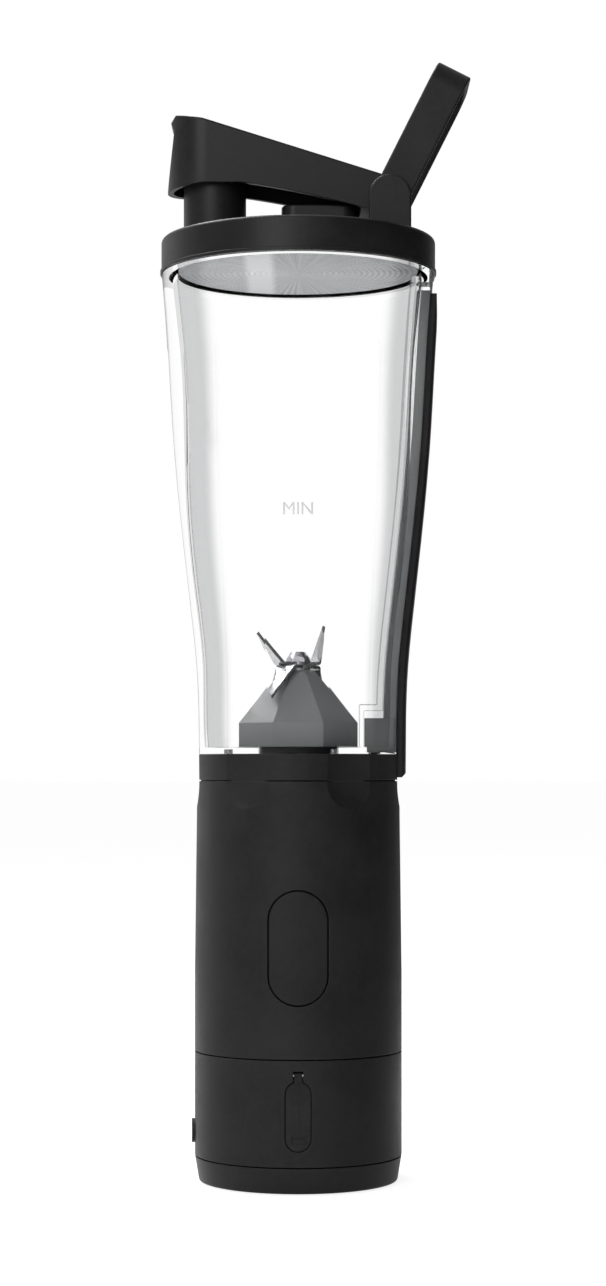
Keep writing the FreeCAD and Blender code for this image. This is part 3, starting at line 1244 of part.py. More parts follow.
def blade_plate(low, arms):
    """Flat centre with its bent arms."""
    root_w = arms[0][3]
    pieces = [disc(root_w * 0.62, low, low + BLADE_T)]
    for direction, length, rise, width, tip in arms:
        bar = block(0, BLADE_ROOT + 0.25, -width / 2, width / 2, low, low + BLADE_T)
        arm = blade_arm(length, rise, width, tip, low)
        pieces.append(spun(bar, direction))
        pieces.append(spun(arm, direction))
    body = pieces[0].fuse(pieces[1:])
    return body.cut(disc(BLADE_SHAFT_R, low - 1, low + BLADE_T + 1))


def make_lower_blade():
    """Blade with arms that slope down beside the hub."""
    return blade_plate(BLADE_Z, LOWER_ARMS)


def make_upper_blade():
    """Blade with arms that rise."""
    return blade_plate(BLADE_Z + BLADE_T, UPPER_ARMS)


def make_blade_nut():
    """Domed hex nut on the shaft's end."""
    low = BLADE_Z + 2 * BLADE_T
    corners = [V(BLADE_NUT_R * math.cos(math.radians(60 * k)),
                 BLADE_NUT_R * math.sin(math.radians(60 * k)), low) for k in range(6)]
    nut = face_of(corners).extrude(V(0, 0, BLADE_NUT_H))
    dome = Part.makeCone(BLADE_NUT_R, 1.2, BLADE_NUT_R, V(0, 0, low + 0.9))
    nut = nut.common(dome.fuse(disc(BLADE_NUT_R + 1, low, low + 0.95)))
    return nut.cut(disc(BLADE_SHAFT_R, low - 1, low + BLADE_NUT_H - 0.6))


# ================================================================ lid
def make_lid_ring():
    """Screw lid: skirt, top plate, plug wall and the two hinge ears."""
    body = disc(LID_R, LID_LOW, LID_TOP)
    body = body.makeFillet(LID_FILLET, [e for e in body.Edges if e.BoundBox.ZMin > LID_TOP - 0.01])
    bead = tube(LID_R + LID_BEAD, LID_R - PAST, LID_LOW, LID_LOW + LID_BEAD_H)
    body = joined([body, bead]).cut(disc(LID_BORE_R, LID_LOW - 1, LID_TOP - LID_T))
    plug = tube(PLUG_R, PLUG_R - PLUG_WALL, LINER_LOW + LINER_T, LID_TOP - LID_T + 0.5)
    plug = plug.cut(tube(PLUG_R + PAST, PLUG_R - LID_SEAL_DEPTH, LID_SEAL_Z, LID_SEAL_Z + LID_SEAL_T))
    ears = [ear(side) for side in (-1, 1)]
    body = joined([body, plug, hinge_block()] + ears)
    body = body.cut(disc(SPOUT_R + SEAT, LID_LOW - 1, LID_TOP + 1, SPOUT_X))
    return body.cut(make_hinge_pin())


def hinge_block():
    """Raised block under the cap, in front of its knuckle."""
    end = PIVOT_X - KNUCKLE_R - 2 - 3 * GAP
    block_top = LID_TOP + HINGE_BLOCK_H
    solid = block(HINGE_BLOCK_X, end, -HINGE_BLOCK_HALF, HINGE_BLOCK_HALF, LID_TOP - OVERLAP, block_top)
    upright = [e for e in solid.Edges if e.BoundBox.ZLength > HINGE_BLOCK_H]
    solid = solid.makeFillet(HINGE_BLOCK_R, upright)
    top = [e for e in solid.Edges if e.BoundBox.ZMin > block_top - 0.01]
    return solid.makeFillet(CAP_EDGE_R, top)


def loop_in():
    """Inner face of a loop leg, measured from the middle plane."""
    return CAP_HALF_W + 2 * GAP


def ear_in():
    """Inner face of an ear."""
    return loop_in() + LOOP_T + GAP


def ear_out():
    """Outer face of an ear."""
    return ear_in() + EAR_T


def ear(side):
    """Post with a rounded top on one side of the hinge."""
    y0 = ear_in() if side > 0 else -ear_out()
    post = block(PIVOT_X - EAR_R, PIVOT_X + EAR_R, y0, y0 + EAR_T, LID_TOP - 1.5, PIVOT_Z)
    head = Part.makeCylinder(EAR_R, EAR_T, V(PIVOT_X, y0, PIVOT_Z), Y_AXIS)
    post = post.fuse(head).removeSplitter()
    outer_y = -ear_out() if side < 0 else ear_out()
    rim = [e for e in post.Edges if abs(e.BoundBox.YMin - outer_y) < 0.01
           and abs(e.BoundBox.YMax - outer_y) < 0.01 and e.BoundBox.ZMax > PIVOT_Z + 1]
    return post.makeFillet(EAR_EDGE_R, rim)


def make_hinge_pin():
    """Pin through the cap's knuckle and the loop's eyes, blind in both ears."""
    half = ear_out() - 1.0
    return Part.makeCylinder(HINGE_PIN_R, 2 * half, V(PIVOT_X, -half, PIVOT_Z), Y_AXIS)


def make_lid_liner():
    """Pale sealing disc that closes the plug."""
    body = disc(LINER_R, LINER_LOW, LINER_LOW + LINER_T)
    body = body.cut(disc(SPOUT_BORE, LINER_LOW - 1, LINER_LOW + LINER_T + 1, SPOUT_X))
    return body


def make_lid_seal():
    """Rubber ring between the plug and the cup's mouth."""
    return tube(RIM_BORE_R - SEAT, PLUG_R - LID_SEAL_DEPTH + RUN, LID_SEAL_Z + RUN,
                LID_SEAL_Z + LID_SEAL_T - RUN)


def make_spout():
    """Drinking spout with a flange under the lid's plate and a rounded lip."""
    low = LINER_LOW + LINER_T
    body = disc(SPOUT_R, low, SPOUT_TOP, SPOUT_X)
    body = body.makeFillet(0.8, [e for e in body.Edges if e.BoundBox.ZMin > SPOUT_TOP - 0.01])
    flange = disc(SPOUT_R + SPOUT_FLANGE_OUT, LID_TOP - LID_T - SPOUT_FLANGE, LID_TOP - LID_T, SPOUT_X)
    flange = flange.common(disc(PLUG_R - PLUG_WALL - SEAT, LINER_LOW, LID_TOP))
    body = joined([body, flange])
    body = body.common(disc(PLUG_R - PLUG_WALL - SEAT, LINER_LOW, LID_TOP - LID_T).fuse(
        disc(LID_R, LID_TOP - LID_T, SPOUT_TOP + 1)))
    return body.cut(disc(SPOUT_BORE, low - 1, SPOUT_TOP + 1, SPOUT_X))


# ================================================================ flip cap
def top_slope():
    """Fall of the cap's top line, tangent to the knuckle round the pin."""
    run = PIVOT_X - CAP_TOP_X
    rise = CAP_TOP_Z - PIVOT_Z
    reach = math.hypot(run, rise)
    return math.atan2(rise, run) - math.asin(KNUCKLE_R / reach)


def knuckle_top():
    a = top_slope()
    return V(PIVOT_X + KNUCKLE_R * math.sin(a), 0, PIVOT_Z + KNUCKLE_R * math.cos(a))


def cap_side_face():
    """Side view of the cap: end wall with a thumb lip, sloping top, curved lower edge."""
    end_x = CAP_END_X - CAP_HALF_W
    knuckle_low = V(PIVOT_X - KNUCKLE_R * math.sin(KNUCKLE_UNDER), 0,
                    PIVOT_Z - KNUCKLE_R * math.cos(KNUCKLE_UNDER))
    mid = V((CAP_EDGE_X + knuckle_low.x) / 2, 0, (CAP_EDGE_Z + knuckle_low.z) / 2 + CAP_EDGE_BOW)
    foot = V(end_x, 0, CAP_EDGE_Z - CAP_EDGE_DROP)
    beside = V(end_x + CAP_EDGE_RUN, 0, CAP_EDGE_Z)
    under_lip = V(end_x + 2.2, 0, CAP_TOP_Z - 4.5)
    line = [foot, under_lip] + cap_top_points()
    back = V(PIVOT_X + KNUCKLE_R, 0, PIVOT_Z)
    edge_start = V(CAP_EDGE_X, 0, CAP_EDGE_Z)
    edges = [Part.makeLine(a, b) for a, b in zip(line, line[1:])]
    edges.append(Part.Arc(line[-1], back, knuckle_low).toShape())
    edges.append(Part.Arc(knuckle_low, mid, edge_start).toShape())
    edges.append(Part.makeLine(edge_start, beside))
    edges.append(Part.makeLine(beside, foot))
    return Part.Face(Part.Wire(edges))


def cap_top_points():
    """Side view of the cap's top, from the thumb lip's tip to the knuckle."""
    end_x = CAP_END_X - CAP_HALF_W
    root_z = CAP_TOP_Z - CAP_LIP_REACH * math.tan(top_slope())
    return [V(end_x + 1.2, 0, CAP_TOP_Z - 1.8), V(end_x + 2.7, 0, CAP_TOP_Z),
            V(CAP_TOP_X + 1.0, 0, CAP_TOP_Z - 1.0), V(CAP_TOP_X + CAP_LIP_REACH, 0, root_z),
            knuckle_top()]


def cap_plan(inset, low, high):
    """Plan of the cap: rounded end on -X, straight sides to the hinge."""
    half = CAP_HALF_W - inset
    return disc(half, low, high, CAP_END_X).fuse(
        block(CAP_END_X, PIVOT_X + 20, -half, half, low, high))


def is_top_edge(edge):
    """True for the edges between the cap's top and its sides, behind the thumb lip."""
    lip_root, knuckle = cap_top_points()[-2:]
    line = Part.makeLine(lip_root, knuckle)
    ends = [Part.Vertex(v.X, 0, v.Z) for v in edge.Vertexes]
    straight_across = abs(edge.BoundBox.YMin + edge.BoundBox.YMax) < 0.01
    return (len(ends) == 2 and not straight_across
            and all(line.distToShape(end)[0] < 0.01 for end in ends))


def make_flip_cap():
    """Hollow cap with a thumb lip, open below and towards the hinge."""
    face = cap_side_face()
    face.translate(V(0, -TRIM, 0))
    body = face.extrude(V(0, 2 * TRIM, 0)).common(cap_plan(0.0, LID_TOP, LID_TOP + TRIM))
    body = body.makeFillet(CAP_EDGE_R, [e for e in body.Edges if is_top_edge(e)])
    roof = face_of([V(-TRIM, -TRIM, LID_TOP), V(-TRIM, -TRIM, cap_roof_z(CAP_TOP_X)),
                    V(CAP_TOP_X, -TRIM, cap_roof_z(CAP_TOP_X)),
                    V(PIVOT_X, -TRIM, cap_roof_z(PIVOT_X)),
                    V(PIVOT_X, -TRIM, LID_TOP)]).extrude(V(0, 2 * TRIM, 0))
    front = block(-TRIM, PIVOT_X - KNUCKLE_R - 2.0, -TRIM, TRIM, LID_TOP, LID_TOP + TRIM)
    body = body.cut(cap_plan(CAP_WALL, LID_TOP, LID_TOP + TRIM).common(roof).common(front))
    return body.cut(Part.makeCylinder(HINGE_PIN_R + RUN, 2 * TRIM, V(PIVOT_X, -TRIM, PIVOT_Z), Y_AXIS))


def cap_roof_z(x):
    """Underside of the cap's roof above a point."""
    a = top_slope()
    return CAP_TOP_Z - CAP_WALL / math.cos(a) - (x - CAP_TOP_X) * math.tan(a)


def make_cap_stopper():
    """Soft plug under the roof that closes the spout."""
    tip = SPOUT_TOP - STOPPER_DEPTH
    plug = Part.makeCone(STOPPER_TIP_R, STOPPER_R, STOPPER_DEPTH, V(SPOUT_X, 0, tip))
    neck = disc(STOPPER_R, SPOUT_TOP, CAP_TOP_Z, SPOUT_X)
    x0 = SPOUT_X - CAP_HALF_W
    x1 = SPOUT_X + CAP_HALF_W
    roof = face_of([V(x0, -CAP_HALF_W, LID_TOP), V(x0, -CAP_HALF_W, cap_roof_z(x0)),
                    V(x1, -CAP_HALF_W, cap_roof_z(x1)), V(x1, -CAP_HALF_W, LID_TOP)])
    roof = roof.extrude(V(0, 2 * CAP_HALF_W, 0))
    brim = disc(SPOUT_R - 4 * SEAT, SPOUT_TOP + SEAT, SPOUT_TOP + SEAT + BRIM_T, SPOUT_X)
    return joined([plug, neck, brim]).common(roof)


# ================================================================ carry loop
def make_carry_loop():
    """U-shaped strap on the hinge pin, leaning back from the cap."""
    half = loop_in() + LOOP_T
    outer = block(-LOOP_W / 2, LOOP_W / 2, -half, half, 0, LOOP_LEN)
    inner_top = LOOP_LEN - LOOP_T
    inner = block(-LOOP_W, LOOP_W, -loop_in(), loop_in(), -10, inner_top)
    corner = [e for e in outer.Edges if e.BoundBox.ZMin > LOOP_LEN - 0.01
              and e.BoundBox.XLength > LOOP_W - 0.1]
    outer = outer.makeFillet(LOOP_CORNER_R, corner)
    inner_corner = [e for e in inner.Edges if e.BoundBox.ZMin > inner_top - 0.01
                    and e.BoundBox.XLength > LOOP_W]
    inner = inner.makeFillet(LOOP_CORNER_R - LOOP_T, inner_corner)
    eye = Part.makeCylinder(LOOP_W / 2, 2 * half, V(0, -half, 0), Y_AXIS)
    eye = eye.cut(block(-LOOP_W, LOOP_W, -loop_in(), loop_in(), -LOOP_W, LOOP_W))
    strap = joined([outer.cut(inner), eye])
    strap = strap.makeFillet(LOOP_EDGE_R, strap.Edges)
    strap = strap.cut(Part.makeCylinder(HINGE_PIN_R + RUN, 2 * TRIM, V(0, -TRIM, 0), Y_AXIS))
    strap.rotate(ORIGIN, Y_AXIS, 90.0 - LOOP_LEAN_DEG)
    strap.translate(V(PIVOT_X, 0, PIVOT_Z))
    return strap


PARTS = {
    "foot_pad": make_foot_pad,
    "foot_cap": make_foot_cap,
    "foot_screws": make_foot_screws,
    "lower_shell": make_lower_shell,
    "base_shell": make_base_shell,
    "port_cover": make_port_cover,
    "port_pin": make_port_pin,
    "usb_socket": make_usb_socket,
    "charge_board": make_charge_board,
    "power_button": make_power_button,
    "button_seal": make_button_seal,
    "tact_switch": make_tact_switch,
    "switch_plunger": make_switch_plunger,
    "main_board": make_main_board,
    "battery_cell_left": lambda: make_cell(-1),
    "battery_cell_right": lambda: make_cell(1),
    "cell_links": make_cell_links,
    "battery_carrier": make_battery_carrier,
    "motor_can": make_motor_can,
    "motor_end_cap": make_motor_end_cap,
    "motor_magnets": make_motor_magnets,
    "motor_armature": make_motor_armature,
    "motor_commutator": make_motor_commutator,
    "motor_shaft": make_motor_shaft,
    "motor_bracket": make_motor_bracket,
    "motor_screws": make_motor_screws,
    "bracket_screws": make_bracket_screws,
    "well_seal": make_well_seal,
    "guard_switch": make_guard_switch,
    "guard_plunger": make_guard_plunger,
    "drive_coupling": make_drive_coupling,
    "driven_coupling": make_driven_coupling,
    "cup": make_cup,
    "cup_collar": make_cup_collar,
    "collar_screws": make_collar_screws,
    "side_rail": make_side_rail,
    "interlock_rod": make_interlock_rod,
    "rod_spring": make_rod_spring,
    "blade_base": make_blade_base,
    "hub_gasket": make_hub_gasket,
    "hub_nut": make_hub_nut,
    "lower_bush": make_lower_bush,
    "upper_bush": make_upper_bush,
    "shaft_seal": make_shaft_seal,
    "blade_shaft": make_blade_shaft,
    "lower_blade": make_lower_blade,
    "upper_blade": make_upper_blade,
    "blade_nut": make_blade_nut,
    "lid_ring": make_lid_ring,
    "hinge_pin": make_hinge_pin,
    "lid_liner": make_lid_liner,
    "lid_seal": make_lid_seal,
    "spout": make_spout,
    "flip_cap": make_flip_cap,
    "cap_stopper": make_cap_stopper,
    "carry_loop": make_carry_loop,
}

os.makedirs("parts", exist_ok=True)
for name, maker in PARTS.items():
    shape = maker()
    box = shape.BoundBox
    print("%-20s solids %d valid %s vol %9.1f  x %6.1f %6.1f  y %6.1f %6.1f  z %6.1f %6.1f" % (
        name, len(shape.Solids), shape.isValid(), shape.Volume, box.XMin, box.XMax,
        box.YMin, box.YMax, box.ZMin, box.ZMax))
    shape.exportStep("parts/%s.step" % name)
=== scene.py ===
"""Finishes, small moulded surfaces and the studio of a cordless bottle blender."""

import json
import math

import bpy
import numpy as np
from bpy.props import FloatProperty, FloatVectorProperty, IntProperty, PointerProperty
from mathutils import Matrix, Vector


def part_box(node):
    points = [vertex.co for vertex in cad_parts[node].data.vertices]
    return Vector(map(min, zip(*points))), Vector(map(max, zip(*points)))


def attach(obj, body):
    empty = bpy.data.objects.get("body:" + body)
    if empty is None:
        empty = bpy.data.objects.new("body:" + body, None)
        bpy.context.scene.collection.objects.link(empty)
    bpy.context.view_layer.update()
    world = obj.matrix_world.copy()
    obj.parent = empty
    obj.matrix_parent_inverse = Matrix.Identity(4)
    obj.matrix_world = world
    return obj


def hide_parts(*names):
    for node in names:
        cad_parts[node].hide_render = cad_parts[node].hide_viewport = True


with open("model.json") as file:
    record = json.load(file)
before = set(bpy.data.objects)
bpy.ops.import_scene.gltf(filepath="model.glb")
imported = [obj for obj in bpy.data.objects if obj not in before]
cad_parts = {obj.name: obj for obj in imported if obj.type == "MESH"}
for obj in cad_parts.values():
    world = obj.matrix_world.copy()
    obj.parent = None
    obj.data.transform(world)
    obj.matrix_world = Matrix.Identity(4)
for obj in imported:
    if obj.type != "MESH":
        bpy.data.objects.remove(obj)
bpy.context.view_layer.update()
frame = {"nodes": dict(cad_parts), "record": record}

bl_info = {
    "name": "Bottle blender finishes",
    "version": (1, 0, 0),
    "blender": (4, 5, 0),
    "location": "View3D > Sidebar > Blender",
    "description": "Builds the finishes and fine surfaces of a cordless bottle blender",
    "category": "Object",
}

MM = 0.001
PICTURE_SIZE = (606, 1286)      # width and height that the camera is set up for, in pixels
SENSOR = 36.0                   # width of the camera's sensor, in mm
VIEW_END = 100.0                # farthest point the camera sees
WHITE = (1.0, 1.0, 1.0)
BLACK = (0.0, 0.0, 0.0)
SLOT_OF = {part["node"]: part["material_slot"] for part in frame["record"]["subparts"]}

LINER_LOW, LINER_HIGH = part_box("lid_liner")
COVER_LOW, COVER_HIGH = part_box("port_cover")
CUP_LOW, CUP_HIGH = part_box("cup")
BASE_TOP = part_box("base_shell")[1].z
UPPER_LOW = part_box("upper_blade")[0].z

# fill mark
PRINT_ZERO = BASE_TOP - 9.7 * MM    # height that print_level counts from, by the base's seam
CAPITAL_SHARE = 0.72            # height of a capital letter over the size of the type
INK_HEIGHT = 0.02 * MM

# bar on the charge port's cover
BAR_HALF = 0.55 * MM            # half its width
BAR_RISE = 0.16 * MM
BAR_SINK = 0.15 * MM            # how far it reaches into the cover
BAR_PLACE = 0.40                # height of its middle, as a share of the cover's height

# clear cup, with painted shade on its slanting walls
CUP_IOR = 1.035
# painted shade: greys put into the cup's colour where its bore and its outside turn away from
# the eye, in place of the darkening of a thick clear wall seen at a slant
BORE_PAINTED_SHADE = (0.62, 0.625, 0.63)
OUTLINE_PAINTED_SHADE = (0.30, 0.30, 0.31)
BORE_SHADE_BAND = (0.30, 0.46)        # how far the bore turns away where it goes grey
OUTLINE_SHADE_BAND = (0.80, 0.93)     # and the outside, where its outline starts and is full

# liner under the lid
LINER_CORNER = 0.35 * MM        # rounding of its edge
LINER_SIDES = 144
STREAKS = 34.0                  # streaks for each radian round the axis
# painted highlight: a straight pale band on the liner that stands in for a light's reflection
PAINTED_HIGHLIGHT_X = -11.5 * MM
PAINTED_HIGHLIGHT_BAND = (2.0 * MM, 5.5 * MM)    # half the band's full width, and where it has faded

# studio
FLOOR_HALF = 20.0
FLOOR_WHITE = 0.85              # glow of the floor where it is seen directly
GLOSS_ROOM = 0.75               # brightness of the room and floor in gloss
LIT_MIDDLE = (0.0, 0.0, 0.17)   # what the lights face
LIGHTS = (                      # name, place, size, and the setting that holds the power
    ("key_light", (-0.40, -1.25, 0.80), (0.7, 0.9), "key_power"),
    ("rim_light", (-0.75, 0.55, 0.42), (0.20, 1.0), "rim_power"),
    ("fill_light", (1.1, -0.9, 0.35), (0.6, 0.9), "fill_power"),
    ("top_light", (-0.50, 0.35, 1.20), (0.6, 0.6), "top_power"),
)


# ================================================================ settings
class BottleSizes(bpy.types.PropertyGroup):
    """Sizes of the fine surfaces that are added to the solid parts."""
    ripple_pitch: FloatProperty(
        name="Ripple pitch", description="Distance between the rings under the lid",
        default=1.7 * MM, min=0.5 * MM, subtype="DISTANCE")
    ripple_depth: FloatProperty(
        name="Ripple depth", description="Depth of the rings under the lid",
        default=0.16 * MM, min=0.0, subtype="DISTANCE")
    ripple_steps: IntProperty(
        name="Ripple steps", description="Rows of faces across one ring", default=8, min=4)
    blade_thickness: FloatProperty(
        name="Blade thickness", description="Sheet that the blades are cut from",
        default=1.0 * MM, min=0.2 * MM, subtype="DISTANCE")
    ground_width: FloatProperty(
        name="Ground width", description="Width of the ground cutting edge",
        default=1.5 * MM, min=0.1 * MM, subtype="DISTANCE")
    print_height: FloatProperty(
        name="Print height", description="Height of the fill mark's letters",
        default=3.7 * MM, min=1.0 * MM, subtype="DISTANCE")
    print_level: FloatProperty(
        name="Print level", description="Height of the fill mark over a level by the seam",
        default=81.0 * MM, min=0.0, subtype="DISTANCE")
    grip_height: FloatProperty(
        name="Grip height", description="Height of the raised bar on the charge port's cover",
        default=6.4 * MM, min=1.0 * MM, subtype="DISTANCE")


class BottleColours(bpy.types.PropertyGroup):
    """Colours of the finishes."""
    housing: FloatVectorProperty(
        name="Housing", description="Black plastic of the base", subtype="COLOR", size=3,
        default=(0.0082, 0.0082, 0.0084), min=0.0, max=1.0)
    lid: FloatVectorProperty(
        name="Lid", description="Black plastic of the lid and flip cap", subtype="COLOR", size=3,
        default=(0.0078, 0.0078, 0.0080), min=0.0, max=1.0)
    rubber: FloatVectorProperty(
        name="Rubber", description="Foot and charge port cover", subtype="COLOR", size=3,
        default=(0.0080, 0.0080, 0.0081), min=0.0, max=1.0)
    hub: FloatVectorProperty(
        name="Hub", description="Grey plastic under the blades", subtype="COLOR", size=3,
        default=(0.150, 0.153, 0.158), min=0.0, max=1.0)
    rod: FloatVectorProperty(
        name="Interlock rod", description="Grey plastic rod behind the rail", subtype="COLOR",
        size=3, default=(0.19, 0.193, 0.198), min=0.0, max=1.0)
    liner: FloatVectorProperty(
        name="Lid liner", description="Pale silicone under the lid", subtype="COLOR", size=3,
        default=(0.44, 0.465, 0.49), min=0.0, max=1.0)
    steel: FloatVectorProperty(
        name="Blade steel", description="Ground stainless steel", subtype="COLOR", size=3,
        default=(0.46, 0.47, 0.48), min=0.0, max=1.0)
    print_ink: FloatVectorProperty(
        name="Fill mark", description="Pale grey print on the cup", subtype="COLOR", size=3,
        default=(0.56, 0.56, 0.57), min=0.0, max=1.0)


class BottleStage(bpy.types.PropertyGroup):
    """Camera, lights and floor."""
    view_distance: FloatProperty(
        name="View distance", description="From the camera to the blender's axis",
        default=0.81, min=0.1, subtype="DISTANCE")
    view_height: FloatProperty(
        name="View height", description="Height of the camera over the table",
        default=0.1246, subtype="DISTANCE")
    focal_px: FloatProperty(
        name="Focal length", description="Focal length in pixels of the full frame",
        default=2700.0, min=100.0)
    axis_px: FloatProperty(
        name="Axis column", description="Pixel column of the blender's axis", default=298.3)
    horizon_px: FloatProperty(
        name="Horizon row", description="Pixel row of the horizon", default=765.0)
    room_level: FloatProperty(
        name="Room level", description="Brightness of the room on matt surfaces",
        default=0.50, min=0.0)
    dark_side: FloatProperty(
        name="Dark side", description="Share of its light that the room keeps at the right",
        default=0.04, min=0.0, max=1.0)
    key_power: FloatProperty(
        name="Key light", description="Power of the large soft light", default=10.0, min=0.0,
        unit="POWER")
    rim_power: FloatProperty(
        name="Rim light", description="Power of the strip light at the left", default=0.5,
        min=0.0, unit="POWER")
    top_power: FloatProperty(
        name="Top light", description="Power of the soft light behind and above", default=16.0,
        min=0.0, unit="POWER")
    fill_power: FloatProperty(
        name="Fill light", description="Power of the soft light at the right", default=0.15,
        min=0.0, unit="POWER")


# ================================================================ surfaces
def grid_quads(rows, columns, closed):
    """Corners of the quads of a grid: each point, its neighbour along the row, and both
    of those one row on. A closed grid joins the last column to the first."""
    row = np.arange(rows - 1)[:, None]
    column = np.arange(columns if closed else columns - 1)[None, :]
    after = (column + 1) % columns
    corners = (row * columns + column, (row + 1) * columns + column,
               (row + 1) * columns + after, row * columns + after)
    return np.stack(np.broadcast_arrays(*corners), -1).reshape(-1, 4)


def add_piece(name, points, faces, slot, body, smooth=True):
    """New mesh object in the part's frame, which rides on a body and has a slot's finish."""
    mesh = bpy.data.meshes.new(name)
    mesh.from_pydata(np.asarray(points, float).reshape(-1, 3).tolist(), [], faces)
    mesh.polygons.foreach_set("use_smooth", np.full(len(mesh.polygons), smooth))
    mesh.update()
    piece = bpy.data.objects.new(name, mesh)
    bpy.context.scene.collection.objects.link(piece)
    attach(piece, body)
    mesh.materials.append(finish_for(slot))
    return piece


def turned_surface(radius, height, sides):
    """Closed surface of revolution. The profile runs from the axis at the top, outwards,
    down and back to the axis: point = (r cos a, r sin a, z), with a going once round."""
    angle = np.linspace(0.0, 2 * math.pi, sides, endpoint=False)
    ring = np.stack([np.outer(radius[1:-1], np.cos(angle)),
                     np.outer(radius[1:-1], np.sin(angle)),
                     np.repeat(height[1:-1, None], sides, 1)], -1).reshape(-1, 3)
    poles = np.array([[0.0, 0.0, height[0]], [0.0, 0.0, height[-1]]])
    rows = len(radius) - 2
    top, bottom = rows * sides, rows * sides + 1
    here = np.arange(sides)
    after = (here + 1) % sides
    last = (rows - 1) * sides
    faces = grid_quads(rows, sides, True).tolist()
    faces += np.stack([np.full(sides, top), here, after], -1).tolist()
    faces += np.stack([last + after, last + here, np.full(sides, bottom)], -1).tolist()
    return np.concatenate([ring, poles]), faces


def swept_strip(sections):
    """Closed strip from rows of section points, with a flat face on each end. The points
    of a section run clockwise to an eye that looks along the strip."""
    rows, columns = sections.shape[:2]
    faces = grid_quads(rows, columns, True)[:, [0, 3, 2, 1]].tolist()
    faces.append(list(range(columns - 1, -1, -1)))
    faces.append(list(range((rows - 1) * columns, rows * columns)))
    return sections.reshape(-1, 3), faces


def soft_edges(piece, width):
    """Rounds the piece's sharp edges."""
    bevel = piece.modifiers.new("soft_edges", "BEVEL")
    bevel.width = width
    bevel.segments = 2
    bevel.limit_method = "ANGLE"
    bevel.angle_limit = math.radians(30)


def cup_radius(level):
    """Outer radius of the cup's front at each height, read from the cup's own surface."""
    mesh = frame["nodes"]["cup"].data
    co = np.zeros(len(mesh.vertices) * 3, np.float32)
    mesh.vertices.foreach_get("co", co)
    co = co.reshape(-1, 3)
    near = (np.abs(co[:, 0]) < 0.25 * np.abs(co[:, 1])) & (co[:, 1] < 0)
    heights = np.linspace(CUP_LOW.z, CUP_HIGH.z, 60)
    radius = np.hypot(co[near, 0], co[near, 1])
    painted_band = np.abs(co[near, 2][None, :] - heights[:, None]) < 3 * MM
    outer = np.where(painted_band, radius[None, :], 0.0).max(1)
    known = outer > 0.5 * CUP_HIGH.x
    return np.interp(level, heights[known], outer[known])


# ================================================================ shader groups
def new_group(name, inputs, outputs):
    """Empty shader group with named inputs (label, kind, value) and outputs (label, kind)."""
    group = bpy.data.node_groups.new(name, "ShaderNodeTree")
    for label, kind, value in inputs:
        socket = group.interface.new_socket(label, in_out="INPUT", socket_type=kind)
        socket.default_value = value
    for label, kind in outputs:
        group.interface.new_socket(label, in_out="OUTPUT", socket_type=kind)
    return group, group.nodes.new("NodeGroupInput"), group.nodes.new("NodeGroupOutput")


def socket_at(node, label):
    """Input socket by its name, with _ for a space, or by its number after the letter n."""
    if label[0] == "n" and label[1:].isdigit():
        return node.inputs[int(label[1:])]
    return node.inputs[label.replace("_", " ")]


def wire(tree, kind, values=None, **inputs):
    """Adds a node: values sets its own options, inputs joins or sets its sockets."""
    node = tree.nodes.new(kind)
    for option, value in (values or {}).items():
        setattr(node, option, value)
    for label, value in inputs.items():
        socket = socket_at(node, label)
        if isinstance(value, bpy.types.NodeSocket):
            tree.links.new(value, socket)
        else:
            socket.default_value = value
    return node


def moulded_grain_group():
    """Fine spark-eroded grain of a moulded surface, with a faint long waviness."""
    group, given, out = new_group(
        "moulded_grain",
        [("Grain", "NodeSocketFloat", 2600.0), ("Wave", "NodeSocketFloat", 60.0),
         ("Wave Share", "NodeSocketFloat", 0.3)],
        [("Height", "NodeSocketFloat")])
    place = group.nodes.new("ShaderNodeTexCoord").outputs["Object"]
    grain = wire(group, "ShaderNodeTexNoise", Vector=place, Scale=given.outputs["Grain"],
                 Detail=2.0, Roughness=0.55)
    wave = wire(group, "ShaderNodeTexNoise", Vector=place, Scale=given.outputs["Wave"],
                Detail=1.0)
    both = wire(group, "ShaderNodeMath", {"operation": "MULTIPLY_ADD"},
                n0=wave.outputs["Fac"], n1=given.outputs["Wave Share"],
                n2=grain.outputs["Fac"])
    group.links.new(both.outputs[0], out.inputs["Height"])
    return group


def handling_group():
    """Roughness that wanders with handling: broad smudges broken up by fine scuffs."""
    group, given, out = new_group(
        "handling",
        [("Smooth", "NodeSocketFloat", 0.35), ("Rough", "NodeSocketFloat", 0.5),
         ("Smudge", "NodeSocketFloat", 45.0), ("Scuff", "NodeSocketFloat", 700.0)],
        [("Roughness", "NodeSocketFloat"), ("Mask", "NodeSocketFloat")])
    place = group.nodes.new("ShaderNodeTexCoord").outputs["Object"]
    smudge = wire(group, "ShaderNodeTexNoise", Vector=place, Scale=given.outputs["Smudge"],
                  Detail=3.0, Roughness=0.6)
    scuff = wire(group, "ShaderNodeTexNoise", Vector=place, Scale=given.outputs["Scuff"],
                 Detail=2.0)
    both = wire(group, "ShaderNodeMath", {"operation": "MULTIPLY_ADD"},
                n0=scuff.outputs["Fac"], n1=0.35, n2=smudge.outputs["Fac"])
    ramp = wire(group, "ShaderNodeMapRange", {"interpolation_type": "SMOOTHSTEP"},
                Value=both.outputs[0], n1=0.45, n2=0.9, n3=0.0, n4=1.0)
    rough = wire(group, "ShaderNodeMapRange", Value=ramp.outputs[0], n1=0.0, n2=1.0,
                 n3=given.outputs["Smooth"], n4=given.outputs["Rough"])
    group.links.new(rough.outputs[0], out.inputs["Roughness"])
    group.links.new(ramp.outputs[0], out.inputs["Mask"])
    return group


